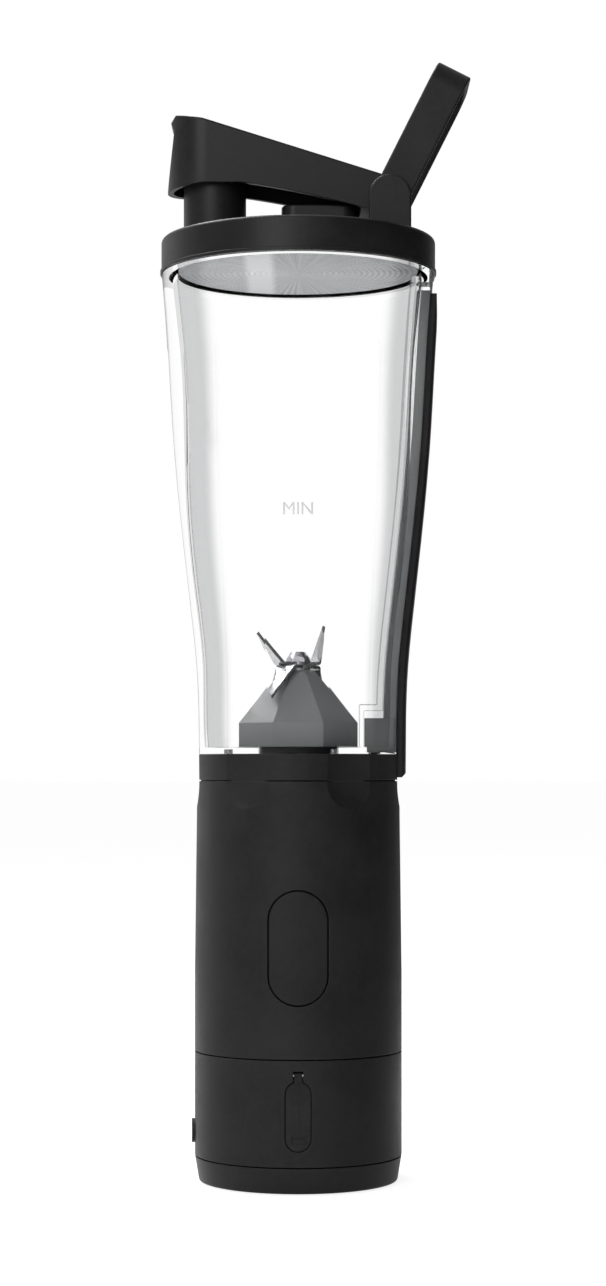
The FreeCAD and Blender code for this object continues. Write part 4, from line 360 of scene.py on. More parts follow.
def edge_wear_group():
    """Mask of the rubbed edges: where a rounded normal leaves the true one, broken by noise."""
    group, given, out = new_group(
        "edge_wear",
        [("Reach", "NodeSocketFloat", 0.4 * MM), ("Amount", "NodeSocketFloat", 1.0),
         ("Breakup", "NodeSocketFloat", 420.0)],
        [("Mask", "NodeSocketFloat"), ("Normal", "NodeSocketVector")])
    rounded = wire(group, "ShaderNodeBevel", {"samples": 6}, Radius=given.outputs["Reach"])
    true = group.nodes.new("ShaderNodeNewGeometry")
    along = wire(group, "ShaderNodeVectorMath", {"operation": "DOT_PRODUCT"},
                 n0=rounded.outputs["Normal"], n1=true.outputs["Normal"])
    bent = wire(group, "ShaderNodeMapRange", Value=along.outputs["Value"], n1=0.995, n2=0.80,
                n3=0.0, n4=1.0)
    place = group.nodes.new("ShaderNodeTexCoord").outputs["Object"]
    noise = wire(group, "ShaderNodeTexNoise", Vector=place, Scale=given.outputs["Breakup"],
                 Detail=3.0)
    kept = wire(group, "ShaderNodeMapRange", Value=noise.outputs["Fac"], n1=0.35, n2=0.65,
                n3=0.15, n4=1.0)
    worn = wire(group, "ShaderNodeMath", {"operation": "MULTIPLY"}, n0=bent.outputs[0],
                n1=kept.outputs[0])
    share = wire(group, "ShaderNodeMath", {"operation": "MULTIPLY", "use_clamp": True},
                 n0=worn.outputs[0], n1=given.outputs["Amount"])
    group.links.new(share.outputs[0], out.inputs["Mask"])
    group.links.new(rounded.outputs["Normal"], out.inputs["Normal"])
    return group


def brushed_lines_group():
    """Fine tool lines: noise that is long along one axis and short across it."""
    group, given, out = new_group(
        "brushed_lines",
        [("Stretch", "NodeSocketVector", (1.0, 1.0, 30.0)), ("Scale", "NodeSocketFloat", 180.0)],
        [("Height", "NodeSocketFloat"), ("Mask", "NodeSocketFloat")])
    place = group.nodes.new("ShaderNodeTexCoord").outputs["Object"]
    pulled = wire(group, "ShaderNodeVectorMath", {"operation": "MULTIPLY"}, n0=place,
                  n1=given.outputs["Stretch"])
    lines = wire(group, "ShaderNodeTexNoise", Vector=pulled.outputs["Vector"],
                 Scale=given.outputs["Scale"], Detail=4.0, Roughness=0.6)
    patch = wire(group, "ShaderNodeTexNoise", Vector=place, Scale=given.outputs["Scale"],
                 Detail=2.0)
    both = wire(group, "ShaderNodeMath", {"operation": "MULTIPLY"}, n0=lines.outputs["Fac"],
                n1=patch.outputs["Fac"])
    mask = wire(group, "ShaderNodeMapRange", Value=both.outputs[0], n1=0.15, n2=0.38,
                n3=0.0, n4=1.0)
    group.links.new(lines.outputs["Fac"], out.inputs["Height"])
    group.links.new(mask.outputs[0], out.inputs["Mask"])
    return group


GROUP_MAKERS = {"moulded_grain": moulded_grain_group, "handling": handling_group,
                "edge_wear": edge_wear_group, "brushed_lines": brushed_lines_group}


def effect(tree, name, **inputs):
    """Places a shader group in a material, and makes the group the first time."""
    group = bpy.data.node_groups.get(name) or GROUP_MAKERS[name]()
    node = tree.nodes.new("ShaderNodeGroup")
    node.node_tree = group
    for label, value in inputs.items():
        socket_at(node, label).default_value = value
    return node


# ================================================================ finishes
def new_finish(name, colour, specular=0.5, metallic=0.0):
    """Material with an empty tree apart from its Principled shader and output."""
    material = bpy.data.materials.new(name)
    material.use_nodes = True
    tree = material.node_tree
    shader = tree.nodes["Principled BSDF"]
    shader.inputs["Base Color"].default_value = (*colour, 1.0)
    shader.inputs["Specular IOR Level"].default_value = specular
    shader.inputs["Metallic"].default_value = metallic
    material.diffuse_color = (*colour, 1.0)
    return material, tree, shader


def join_finish(tree, shader, colour, roughness, normal):
    """Joins what varies over the surface to a finish's shader."""
    tree.links.new(colour, shader.inputs["Base Color"])
    tree.links.new(roughness, shader.inputs["Roughness"])
    tree.links.new(normal, shader.inputs["Normal"])


def lighter(colour, share, towards=WHITE):
    """Colour moved by a share towards another, white unless that is given."""
    return tuple(a + (b - a) * share for a, b in zip(colour, towards))


def tint(tree, mask, colour, other):
    """Colour that goes over to another where the mask is 1."""
    mix = wire(tree, "ShaderNodeMix", {"data_type": "RGBA"}, n0=mask)
    mix.inputs[6].default_value = (*colour, 1.0)
    mix.inputs[7].default_value = (*other, 1.0)
    return mix.outputs[2]


def moulded_plastic(name, colour, smooth, rough, specular=0.16, grain=2600.0, depth=0.05,
                    wear=0.6, reach=0.4 * MM):
    """Satin moulded plastic: grain, smudges, and paler rubbed edges."""
    material, tree, shader = new_finish(name, colour, specular)
    edges = effect(tree, "edge_wear", Reach=reach, Amount=wear)
    hands = effect(tree, "handling", Smooth=smooth, Rough=rough)
    surface = effect(tree, "moulded_grain", Grain=grain)
    wander = tint(tree, hands.outputs["Mask"], colour, lighter(colour, 0.006))
    rubbed = wire(tree, "ShaderNodeMix", {"data_type": "RGBA"}, n0=edges.outputs["Mask"],
                  n6=wander)
    rubbed.inputs[7].default_value = (*lighter(colour, 0.035), 1.0)
    bump = wire(tree, "ShaderNodeBump", Strength=depth, Distance=0.1 * MM,
                Height=surface.outputs["Height"], Normal=edges.outputs["Normal"])
    join_finish(tree, shader, rubbed.outputs[2], hands.outputs["Roughness"],
                bump.outputs["Normal"])
    return material


def soft_rubber(name, colour, smooth=0.55, rough=0.75, specular=0.15, dust=0.03):
    """Matt rubber or silicone with a fine skin and a little dust on it."""
    material, tree, shader = new_finish(name, colour, specular)
    hands = effect(tree, "handling", Smooth=smooth, Rough=rough, Smudge=70.0)
    surface = effect(tree, "moulded_grain", Grain=1800.0, Wave=120.0)
    bump = wire(tree, "ShaderNodeBump", Strength=0.08, Distance=0.1 * MM,
                Height=surface.outputs["Height"])
    dusted = tint(tree, hands.outputs["Mask"], colour, lighter(colour, dust))
    join_finish(tree, shader, dusted, hands.outputs["Roughness"], bump.outputs["Normal"])
    return material


def worked_metal(name, colour, smooth, rough, stretch=(1.0, 1.0, 30.0), scale=180.0,
                 depth=0.06, dulled=0.15):
    """Metal with tool lines and dull patches between them."""
    material, tree, shader = new_finish(name, colour, metallic=1.0)
    lines = effect(tree, "brushed_lines", Stretch=stretch, Scale=scale)
    hands = effect(tree, "handling", Smooth=smooth, Rough=rough, Smudge=120.0)
    bump = wire(tree, "ShaderNodeBump", Strength=depth, Distance=0.05 * MM,
                Height=lines.outputs["Height"])
    patched = tint(tree, lines.outputs["Mask"], lighter(colour, dulled, BLACK), colour)
    join_finish(tree, shader, patched, hands.outputs["Roughness"], bump.outputs["Normal"])
    return material


def clear_moulding(name, colour):
    """Clear thick moulding with painted shade: the bore's colour greys where it turns away from
    the eye, and the outside has a thin grey outline, both standing in for the darkening of a
    thick clear wall seen at a slant. The bore is where the true normal faces the cup's axis."""
    material, tree, shader = new_finish(name, colour)
    shader.inputs["Transmission Weight"].default_value = 1.0
    shader.inputs["IOR"].default_value = CUP_IOR
    place = tree.nodes.new("ShaderNodeTexCoord").outputs["Object"]
    level = wire(tree, "ShaderNodeVectorMath", {"operation": "MULTIPLY"}, n0=place,
                 n1=(1.0, 1.0, 0.0))
    true = tree.nodes.new("ShaderNodeNewGeometry")
    outward = wire(tree, "ShaderNodeVectorMath", {"operation": "DOT_PRODUCT"},
                   n0=level.outputs["Vector"], n1=true.outputs["True Normal"])
    back = wire(tree, "ShaderNodeMath", {"operation": "MULTIPLY_ADD"},
                n0=true.outputs["Backfacing"], n1=-2.0, n2=1.0)
    facing_out = wire(tree, "ShaderNodeMath", {"operation": "MULTIPLY"},
                      n0=outward.outputs["Value"], n1=back.outputs[0])
    bore = wire(tree, "ShaderNodeMath", {"operation": "LESS_THAN"}, n0=facing_out.outputs[0],
                n1=-0.005)
    # painted shade: how far the surface turns from the eye decides how grey its colour is
    eye = wire(tree, "ShaderNodeLayerWeight", Blend=0.5)
    painted_band = wire(tree, "ShaderNodeMapRange", {"interpolation_type": "SMOOTHSTEP"},
                Value=eye.outputs["Facing"], n1=BORE_SHADE_BAND[0], n2=BORE_SHADE_BAND[1], n3=0.0, n4=1.0)
    painted_bore_shade = wire(tree, "ShaderNodeMath", {"operation": "MULTIPLY"}, n0=bore.outputs[0],
                  n1=painted_band.outputs[0])
    outline_shade_mask = wire(tree, "ShaderNodeMapRange", {"interpolation_type": "SMOOTHSTEP"},
               Value=eye.outputs["Facing"], n1=OUTLINE_SHADE_BAND[0], n2=OUTLINE_SHADE_BAND[1],
               n3=0.0, n4=1.0)
    # colour with the painted shade of the bore, then the painted shade of the outline
    body = tint(tree, painted_bore_shade.outputs[0], colour, BORE_PAINTED_SHADE)
    painted_outline = wire(tree, "ShaderNodeMix", {"data_type": "RGBA"}, n0=outline_shade_mask.outputs[0], n6=body)
    painted_outline.inputs[7].default_value = (*OUTLINE_PAINTED_SHADE, 1.0)
    hands = effect(tree, "handling", Smooth=0.0, Rough=0.03, Smudge=30.0)
    surface = effect(tree, "moulded_grain", Grain=90.0, Wave=25.0, Wave_Share=1.5)
    bump = wire(tree, "ShaderNodeBump", Strength=0.02, Distance=0.2 * MM,
                Height=surface.outputs["Height"])
    join_finish(tree, shader, painted_outline.outputs[2], hands.outputs["Roughness"],
                bump.outputs["Normal"])
    return material


def spun_liner(name, colour):
    """Silicone disc moulded in a turned tool: fine streaks of tone run out from the middle, as
    noise over the angle round the axis, and a straight band of painted highlight, a painted
    reflection of a light, crosses it beside the spout."""
    material, tree, shader = new_finish(name, colour)
    place = tree.nodes.new("ShaderNodeTexCoord").outputs["Object"]
    split = wire(tree, "ShaderNodeSeparateXYZ", Vector=place)
    angle = wire(tree, "ShaderNodeMath", {"operation": "ARCTAN2"}, n0=split.outputs["Y"],
                 n1=split.outputs["X"])
    fan = wire(tree, "ShaderNodeMath", {"operation": "MULTIPLY"}, n0=angle.outputs[0],
               n1=STREAKS)
    along = wire(tree, "ShaderNodeCombineXYZ", X=fan.outputs[0])
    streaks = wire(tree, "ShaderNodeTexNoise", Vector=along.outputs[0], Scale=1.0, Detail=3.0,
                   Roughness=0.7)
    # painted highlight: a pale band by the distance from a line at fixed x, in place of a
    # light's reflection
    aside = wire(tree, "ShaderNodeMath", {"operation": "SUBTRACT"}, n0=split.outputs["X"],
                 n1=PAINTED_HIGHLIGHT_X)
    away = wire(tree, "ShaderNodeMath", {"operation": "ABSOLUTE"}, n0=aside.outputs[0])
    painted_band = wire(tree, "ShaderNodeMapRange", {"interpolation_type": "SMOOTHSTEP"},
                Value=away.outputs[0], n1=PAINTED_HIGHLIGHT_BAND[0], n2=PAINTED_HIGHLIGHT_BAND[1], n3=0.85, n4=0.0)
    strong = wire(tree, "ShaderNodeMapRange", Value=streaks.outputs["Fac"], n1=0.38, n2=0.62,
                  n3=0.0, n4=0.62)
    # random streaks of tone, plus the painted highlight band
    both = wire(tree, "ShaderNodeMath", {"operation": "ADD", "use_clamp": True},
                n0=strong.outputs[0], n1=painted_band.outputs[0])
    hands = effect(tree, "handling", Smooth=0.28, Rough=0.42, Smudge=70.0)
    surface = effect(tree, "moulded_grain", Grain=1800.0, Wave=120.0)
    bump = wire(tree, "ShaderNodeBump", Strength=0.06, Distance=0.1 * MM,
                Height=surface.outputs["Height"])
    streaks_and_painted_highlight = tint(tree, both.outputs[0], lighter(colour, 0.42, BLACK), lighter(colour, 0.45))
    join_finish(tree, shader, streaks_and_painted_highlight, hands.outputs["Roughness"], bump.outputs["Normal"])
    return material


def circuit_board(name, mask_colour):
    """Solder mask over a pattern of copper tracks, with bright pads."""
    material, tree, shader = new_finish(name, mask_colour)
    place = tree.nodes.new("ShaderNodeTexCoord").outputs["Object"]
    turned = wire(tree, "ShaderNodeMapping", Vector=place,
                  Rotation=(math.radians(90), 0.0, 0.0))
    tracks = wire(tree, "ShaderNodeTexBrick", Vector=turned.outputs["Vector"], Scale=260.0)
    tracks.inputs["Mortar Size"].default_value = 0.035
    tracks.inputs["Color1"].default_value = (*mask_colour, 1.0)
    tracks.inputs["Color2"].default_value = (*lighter(mask_colour, 0.04), 1.0)
    tracks.inputs["Mortar"].default_value = (*lighter(mask_colour, 0.18, (0.5, 0.8, 0.3)), 1.0)
    pads = wire(tree, "ShaderNodeTexVoronoi", Vector=place, Scale=330.0)
    dot = wire(tree, "ShaderNodeMapRange", Value=pads.outputs["Distance"], n1=0.16, n2=0.19,
               n3=1.0, n4=0.0)
    mix = wire(tree, "ShaderNodeMix", {"data_type": "RGBA"}, n0=dot.outputs[0],
               n6=tracks.outputs["Color"])
    mix.inputs[7].default_value = (0.62, 0.58, 0.50, 1.0)
    hands = effect(tree, "handling", Smooth=0.28, Rough=0.42)
    bump = wire(tree, "ShaderNodeBump", Strength=0.2, Distance=0.05 * MM,
                Height=tracks.outputs["Fac"])
    join_finish(tree, shader, mix.outputs[2], hands.outputs["Roughness"],
                bump.outputs["Normal"])
    return material


def shrink_sleeve(name, colour):
    """Glossy heat-shrunk film with long soft creases."""
    material, tree, shader = new_finish(name, colour)
    shader.inputs["Coat Weight"].default_value = 0.5
    creases = effect(tree, "brushed_lines", Stretch=(1.0, 1.0, 0.15), Scale=260.0)
    hands = effect(tree, "handling", Smooth=0.22, Rough=0.38)
    bump = wire(tree, "ShaderNodeBump", Strength=0.12, Distance=0.2 * MM,
                Height=creases.outputs["Height"])
    creased = tint(tree, creases.outputs["Mask"], lighter(colour, 0.1, BLACK), colour)
    join_finish(tree, shader, creased, hands.outputs["Roughness"], bump.outputs["Normal"])
    return material


def pad_ink(name, colour):
    """Pad-printed ink with small pinholes."""
    material, tree, shader = new_finish(name, colour, 0.3)
    specks = effect(tree, "moulded_grain", Grain=1500.0)
    hands = effect(tree, "handling", Smooth=0.45, Rough=0.6, Smudge=300.0)
    bump = wire(tree, "ShaderNodeBump", Strength=0.1, Distance=0.02 * MM,
                Height=specks.outputs["Height"])
    rubbed = tint(tree, hands.outputs["Mask"], colour, lighter(colour, 0.25))
    join_finish(tree, shader, rubbed, hands.outputs["Roughness"], bump.outputs["Normal"])
    return material


def finish_for(slot):
    """Material of a slot, made the first time it is asked for."""
    made = bpy.data.materials.get("finish_" + slot)
    if made:
        return made
    colours = bpy.context.scene.bottle_colours
    name = "finish_" + slot
    makers = {
        "housing_black": lambda: moulded_plastic(name, colours.housing, 0.40, 0.52),
        "lid_black": lambda: moulded_plastic(name, colours.lid, 0.36, 0.48),
        "rail_black": lambda: moulded_plastic(name, colours.lid, 0.36, 0.46),
        "button_black": lambda: moulded_plastic(name, colours.housing, 0.46, 0.58, grain=3400.0),
        "rubber_black": lambda: soft_rubber(name, colours.rubber, dust=0.012),
        "cup_clear": lambda: clear_moulding(name, WHITE),
        "hub_grey": lambda: moulded_plastic(name, colours.hub, 0.32, 0.46, 0.5, wear=1.5),
        "rod_grey": lambda: moulded_plastic(name, colours.rod, 0.38, 0.5, 0.4),
        "liner_pale": lambda: spun_liner(name, colours.liner),
        "silicone_grey": lambda: soft_rubber(name, (0.45, 0.46, 0.47), 0.4, 0.6, 0.4),
        "blade_steel": lambda: worked_metal(name, colours.steel, 0.18, 0.32, (30.0, 1.0, 1.0)),
        "steel_shaft": lambda: worked_metal(name, (0.50, 0.50, 0.51), 0.2, 0.34),
        "steel_screw": lambda: worked_metal(name, (0.45, 0.45, 0.47), 0.28, 0.42),
        "motor_steel": lambda: worked_metal(name, (0.48, 0.49, 0.50), 0.3, 0.45),
        "nickel": lambda: worked_metal(name, (0.60, 0.60, 0.56), 0.25, 0.4, (30.0, 1.0, 1.0)),
        "magnet_grey": lambda: moulded_plastic(name, (0.07, 0.07, 0.075), 0.5, 0.7, 0.4),
        "copper": lambda: worked_metal(name, (0.72, 0.34, 0.20), 0.25, 0.4),
        "bronze": lambda: worked_metal(name, (0.50, 0.34, 0.17), 0.4, 0.6),
        "cell_sleeve": lambda: shrink_sleeve(name, (0.04, 0.14, 0.34)),
        "board_green": lambda: circuit_board(name, (0.015, 0.10, 0.045)),
        "switch_black": lambda: moulded_plastic(name, (0.025, 0.025, 0.026), 0.4, 0.55, 0.4),
        "carrier_black": lambda: moulded_plastic(name, (0.035, 0.035, 0.036), 0.45, 0.6, 0.4),
        "coupling_black": lambda: moulded_plastic(name, (0.03, 0.03, 0.032), 0.4, 0.55, 0.4),
    }
    if slot not in makers:
        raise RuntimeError(f"no finish for slot {slot}")
    return makers[slot]()


def dress(nodes):
    """Gives each named part of the frame the finish of its slot."""
    for node in nodes:
        part = frame["nodes"][node]
        part.data.materials.clear()
        part.data.materials.append(finish_for(SLOT_OF[node]))


# ================================================================ pieces
class BottlePiece:
    """What the operators share: a list of parts to dress."""
    parts = ()

    def execute(self, context):
        dress(self.parts)
        self.add_surfaces(context.scene.bottle_sizes)
        return {"FINISHED"}

    def add_surfaces(self, sizes):
        """Nothing to add unless an operator says so."""


class BOTTLE_OT_base(BottlePiece, bpy.types.Operator):
    """Dresses the base housings, foot and power button"""
    bl_idname = "bottle.base"
    bl_label = "Base"
    parts = ("foot_cap", "foot_pad", "foot_screws", "lower_shell", "base_shell",
             "power_button", "button_seal")


class BOTTLE_OT_charge_port(BottlePiece, bpy.types.Operator):
    """Dresses the charge port and adds the raised bar on its cover"""
    bl_idname = "bottle.charge_port"
    bl_label = "Charge port"
    parts = ("port_cover", "port_pin", "usb_socket", "charge_board")

    def add_surfaces(self, sizes):
        """A pillow on the cover: across a pill outline, depth = rise times the square
        root of 1 - s squared, where s runs from 0 in the middle to 1 at the outline."""
        straight = sizes.grip_height / 2 - BAR_HALF
        middle = COVER_LOW.z + BAR_PLACE * (COVER_HIGH.z - COVER_LOW.z)
        around, inward = 48, 8
        angle = np.linspace(0, 2 * math.pi, around, endpoint=False)
        share = np.linspace(1.0, 0.0, inward)[:, None]
        x = BAR_HALF * np.cos(angle) * share
        z = middle + (BAR_HALF * np.sin(angle) + np.sign(np.sin(angle)) * straight) * share
        front = COVER_LOW.y - BAR_RISE * np.sqrt(1 - share ** 2)
        dome = np.stack([x, np.broadcast_to(front, x.shape), z], -1)
        skirt = dome[:1] + np.array([0.0, BAR_SINK, 0.0])
        points, faces = swept_strip(np.concatenate([skirt, dome[:-1]]))
        add_piece("port_cover_bar", points, faces, "rubber_black", "port_cover")


class BOTTLE_OT_works(BottlePiece, bpy.types.Operator):
    """Dresses the battery, boards, motor and couplings inside the base"""
    bl_idname = "bottle.works"
    bl_label = "Works"
    parts = ("tact_switch", "switch_plunger", "main_board", "battery_cell_left",
             "battery_cell_right", "cell_links", "battery_carrier", "motor_can",
             "motor_end_cap", "motor_magnets", "motor_armature", "motor_commutator",
             "motor_shaft", "motor_bracket", "motor_screws", "bracket_screws", "well_seal",
             "guard_switch", "guard_plunger", "drive_coupling")


class BOTTLE_OT_cup(BottlePiece, bpy.types.Operator):
    """Dresses the clear cup with its collar and rail, and prints the fill mark"""
    bl_idname = "bottle.cup"
    bl_label = "Cup"
    parts = ("cup", "cup_collar", "collar_screws", "side_rail", "interlock_rod", "rod_spring")

    def add_surfaces(self, sizes):
        """The letters' flat outline is wrapped on the cup: x becomes the angle x / R from
        the front, and R is the cup's radius at that height."""
        curve = bpy.data.curves.new("fill_mark", "FONT")
        curve.body = "MIN"
        curve.align_x = "CENTER"
        curve.size = sizes.print_height / CAPITAL_SHARE
        curve.extrude = INK_HEIGHT
        curve.resolution_u = 4
        letters = bpy.data.objects.new("letters", curve)
        flat = bpy.data.meshes.new_from_object(letters)
        bpy.data.objects.remove(letters)
        co = np.zeros(len(flat.vertices) * 3)
        flat.vertices.foreach_get("co", co)
        co = co.reshape(-1, 3)
        level = PRINT_ZERO + sizes.print_level + co[:, 1]
        radius = cup_radius(level) + co[:, 2]
        angle = co[:, 0] / radius
        flat.vertices.foreach_set("co", np.stack(
            [radius * np.sin(angle), -radius * np.cos(angle), level], -1).ravel())
        flat.update()
        piece = bpy.data.objects.new("fill_mark", flat)
        bpy.context.scene.collection.objects.link(piece)
        piece.data.materials.clear()
        piece.data.materials.append(
            pad_ink("finish_print", bpy.context.scene.bottle_colours.print_ink))
        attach(piece, "cup_unit")


class BOTTLE_OT_blades(BottlePiece, bpy.types.Operator):
    """Dresses the hub and shaft and makes the two ground blades"""
    bl_idname = "bottle.blades"
    bl_label = "Blades"
    parts = ("blade_base", "hub_gasket", "hub_nut", "lower_bush", "upper_bush", "shaft_seal",
             "blade_shaft", "blade_nut", "driven_coupling")
    root = 6.2 * MM         # where the middle of an arm's bend is
    bend = 2.2 * MM         # length of the bend
    arm_rows = 40           # sections in each arm
    plate_share = 0.62      # radius of the plate in the middle, over the arms' root width
    slant_share = 0.18      # how much shorter an arm is along its ground side
    ground_share = 0.85     # share of the sheet that grinding takes off the edge
    # for each blade: direction of the second arm; length and rise of the arm opposite it and
    # of the arm itself; width at the root and at the tip
    upper = (math.radians(28.0), (12.3 * MM, 49.0), (12.1 * MM, 72.0), 5.6 * MM, 2.6 * MM)
    lower = (math.radians(55.0), (13.0 * MM, -47.0), (9.5 * MM, -40.0), 7.0 * MM, 2.4 * MM)

    def add_surfaces(self, sizes):
        self.add_blade("upper_blade", self.upper, UPPER_LOW, sizes)
        self.add_blade("lower_blade", self.lower, UPPER_LOW - sizes.blade_thickness, sizes)

    def add_blade(self, node, shape, low, sizes):
        """A flat strip bent at both roots. Along the strip the slope goes smoothly from 0 to
        an arm's rise; summing its cosine and sine gives the centre line. Each section is
        that line plus width across it and thickness square to it, and the leading side is
        ground down to a thin edge. The tips are cut at a slant."""
        direction, first, second, root_w, tip_w = shape
        reach = np.concatenate([np.linspace(-1, 0, self.arm_rows),
                                np.linspace(0, 1, self.arm_rows)[1:]])
        side = np.where(reach < 0, -1.0, 1.0)   # the edges lead the same way round on both arms
        length = np.where(reach < 0, self.root + first[0], self.root + second[0])
        rise = np.radians(np.where(reach < 0, first[1], second[1]))
        along = reach * length
        turn = np.clip((np.abs(along) - self.root + self.bend / 2) / self.bend, 0, 1)
        slope = rise * turn * turn * (3 - 2 * turn)
        step = np.diff(along, prepend=along[0])
        level = np.cumsum(np.sin(slope) * step * side)
        level -= level[len(reach) // 2]
        out = np.cumsum(np.cos(slope) * step)
        out -= out[len(reach) // 2]
        arm = np.clip((np.abs(along) - self.root) / (length - self.root), 0, 1)
        plate = np.sqrt(np.clip((self.plate_share * root_w) ** 2 - along ** 2, 0, None))
        half = np.maximum(plate, (root_w + (tip_w - root_w) * arm) / 2)
        ground = np.minimum(sizes.ground_width, 0.6 * half) * np.minimum(1, 4 * arm + 0.02)
        thick = sizes.blade_thickness
        thin = thick * (1 - self.ground_share * np.minimum(1, 6 * arm))
        lead = [(-half, 0 * half), (half, 0 * half), (half, thick + 0 * half),
                (-half + ground, thick + 0 * half), (-half, thin)]
        across = np.stack([part[0] for part in lead], -1) * side[:, None]
        up = np.stack([part[1] for part in lead], -1)
        to_edge = 0.5 - 0.5 * across * side[:, None] / half[:, None]
        slant = 1 - self.slant_share * arm[:, None] * to_edge
        rise_side = np.sin(slope) * side
        centre_out = out[:, None] * slant - up * rise_side[:, None]
        centre_up = level[:, None] * slant + up * np.cos(slope)[:, None]
        order = np.where(side[:, None] < 0, [[1, 0, 4, 3, 2]], [[0, 1, 2, 3, 4]])
        rows = np.arange(len(reach))[:, None]
        across, centre_out, centre_up = (part[rows, order] for part in
                                         (across, centre_out, centre_up))
        c, s = math.cos(direction), math.sin(direction)
        points = np.stack([centre_out * c - across * s, centre_out * s + across * c,
                           low + centre_up], -1)
        piece = add_piece(node + "_ground", *swept_strip(points), "blade_steel",
                          "blade_rotor", smooth=False)
        soft_edges(piece, 0.06 * MM)
        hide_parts(node)


class BOTTLE_OT_lid(BottlePiece, bpy.types.Operator):
    """Dresses the lid, spout, flip cap and carry loop, and makes the ringed liner"""
    bl_idname = "bottle.lid"
    bl_label = "Lid"
    parts = ("lid_ring", "hinge_pin", "lid_seal", "spout", "flip_cap", "cap_stopper",
             "carry_loop")

    def add_surfaces(self, sizes):
        """Disc with rings on its underside: z = low + depth (1 - cos(2 pi d / pitch)) / 2,
        where d is the distance in from its rounded edge."""
        edge, corner = LINER_HIGH.x, LINER_CORNER
        low, high = LINER_LOW.z, LINER_HIGH.z
        quarter = np.linspace(0, math.pi / 2, 5)
        count = int(edge / sizes.ripple_pitch * sizes.ripple_steps)
        ringed = np.linspace(edge - corner, 0.0, count)
        radius = np.concatenate([[0.0, edge - corner], edge - corner + corner * np.sin(quarter),
                                 edge - corner + corner * np.cos(quarter), ringed[1:]])
        wave = 0.5 - 0.5 * np.cos(2 * math.pi * (edge - corner - ringed[1:])
                                  / sizes.ripple_pitch)
        height = np.concatenate([[high, high], high - corner + corner * np.cos(quarter),
                                 low + corner - corner * np.sin(quarter),
                                 low + sizes.ripple_depth * wave])
        points, faces = turned_surface(radius, height, LINER_SIDES)
        piece = add_piece("lid_liner_ringed", points, faces, "liner_pale", "lid")
        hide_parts("lid_liner")


# ================================================================ stage
def direct_looks(tree):
    """Two masks: rays straight from the camera, through glass or not, and rays off gloss. A
    ray that a surface threw back is never in the first, even if glass comes after it."""
    path = tree.nodes.new("ShaderNodeLightPath")
    ahead = wire(tree, "ShaderNodeMath", {"operation": "ADD", "use_clamp": True},
                 n0=path.outputs["Is Camera Ray"], n1=path.outputs["Is Transmission Ray"])
    turned = wire(tree, "ShaderNodeMath", {"operation": "ADD", "use_clamp": True},
                  n0=path.outputs["Glossy Depth"], n1=path.outputs["Diffuse Depth"])
    clear = wire(tree, "ShaderNodeMath", {"operation": "SUBTRACT", "use_clamp": True},
                 n0=ahead.outputs[0], n1=turned.outputs[0])
    taken = wire(tree, "ShaderNodeMath", {"operation": "ADD", "use_clamp": True},
                 n0=clear.outputs[0], n1=path.outputs["Diffuse Depth"])
    gloss = wire(tree, "ShaderNodeMath", {"operation": "SUBTRACT", "use_clamp": True},
                 n0=path.outputs["Is Glossy Ray"], n1=taken.outputs[0])
    return clear.outputs[0], gloss.outputs[0]


def studio_floor(dark_side):
    """Pale floor that looks white to the camera, keeps a soft shadow, and goes dim towards
    the right in gloss."""
    corners = [(-1, -1), (1, -1), (1, 1), (-1, 1)]
    mesh = bpy.data.meshes.new("floor")
    mesh.from_pydata([(x * FLOOR_HALF, y * FLOOR_HALF, 0.0) for x, y in corners], [],
                     [[0, 1, 2, 3]])
    floor = bpy.data.objects.new("floor", mesh)
    bpy.context.scene.collection.objects.link(floor)
    material = bpy.data.materials.new("floor_paper")
    material.use_nodes = True
    tree = material.node_tree
    tree.nodes.clear()
    plain = wire(tree, "ShaderNodeBsdfDiffuse", Color=(0.8, 0.8, 0.8, 1.0))
    shaded = wire(tree, "ShaderNodeBsdfDiffuse", Color=(0.36, 0.36, 0.36, 1.0))
    place = tree.nodes.new("ShaderNodeTexCoord").outputs["Object"]
    across = wire(tree, "ShaderNodeSeparateXYZ", Vector=place)
    side = wire(tree, "ShaderNodeMapRange", {"interpolation_type": "SMOOTHSTEP"},
                Value=across.outputs["X"], n1=-0.10, n2=0.60, n3=GLOSS_ROOM,
                n4=dark_side)
    clear, gloss = direct_looks(tree)
    strength = wire(tree, "ShaderNodeMix", n0=gloss, n2=FLOOR_WHITE, n3=side.outputs[0])
    white = wire(tree, "ShaderNodeEmission", Color=(*WHITE, 1.0), Strength=strength.outputs[0])
    seen = wire(tree, "ShaderNodeAddShader", n0=white.outputs[0], n1=shaded.outputs[0])
    direct = wire(tree, "ShaderNodeMath", {"operation": "MAXIMUM"}, n0=clear, n1=gloss)
    mixed = wire(tree, "ShaderNodeMixShader", n0=direct.outputs[0], n1=plain.outputs[0],
                 n2=seen.outputs[0])
    wire(tree, "ShaderNodeOutputMaterial", Surface=mixed.outputs[0])
    mesh.materials.append(material)


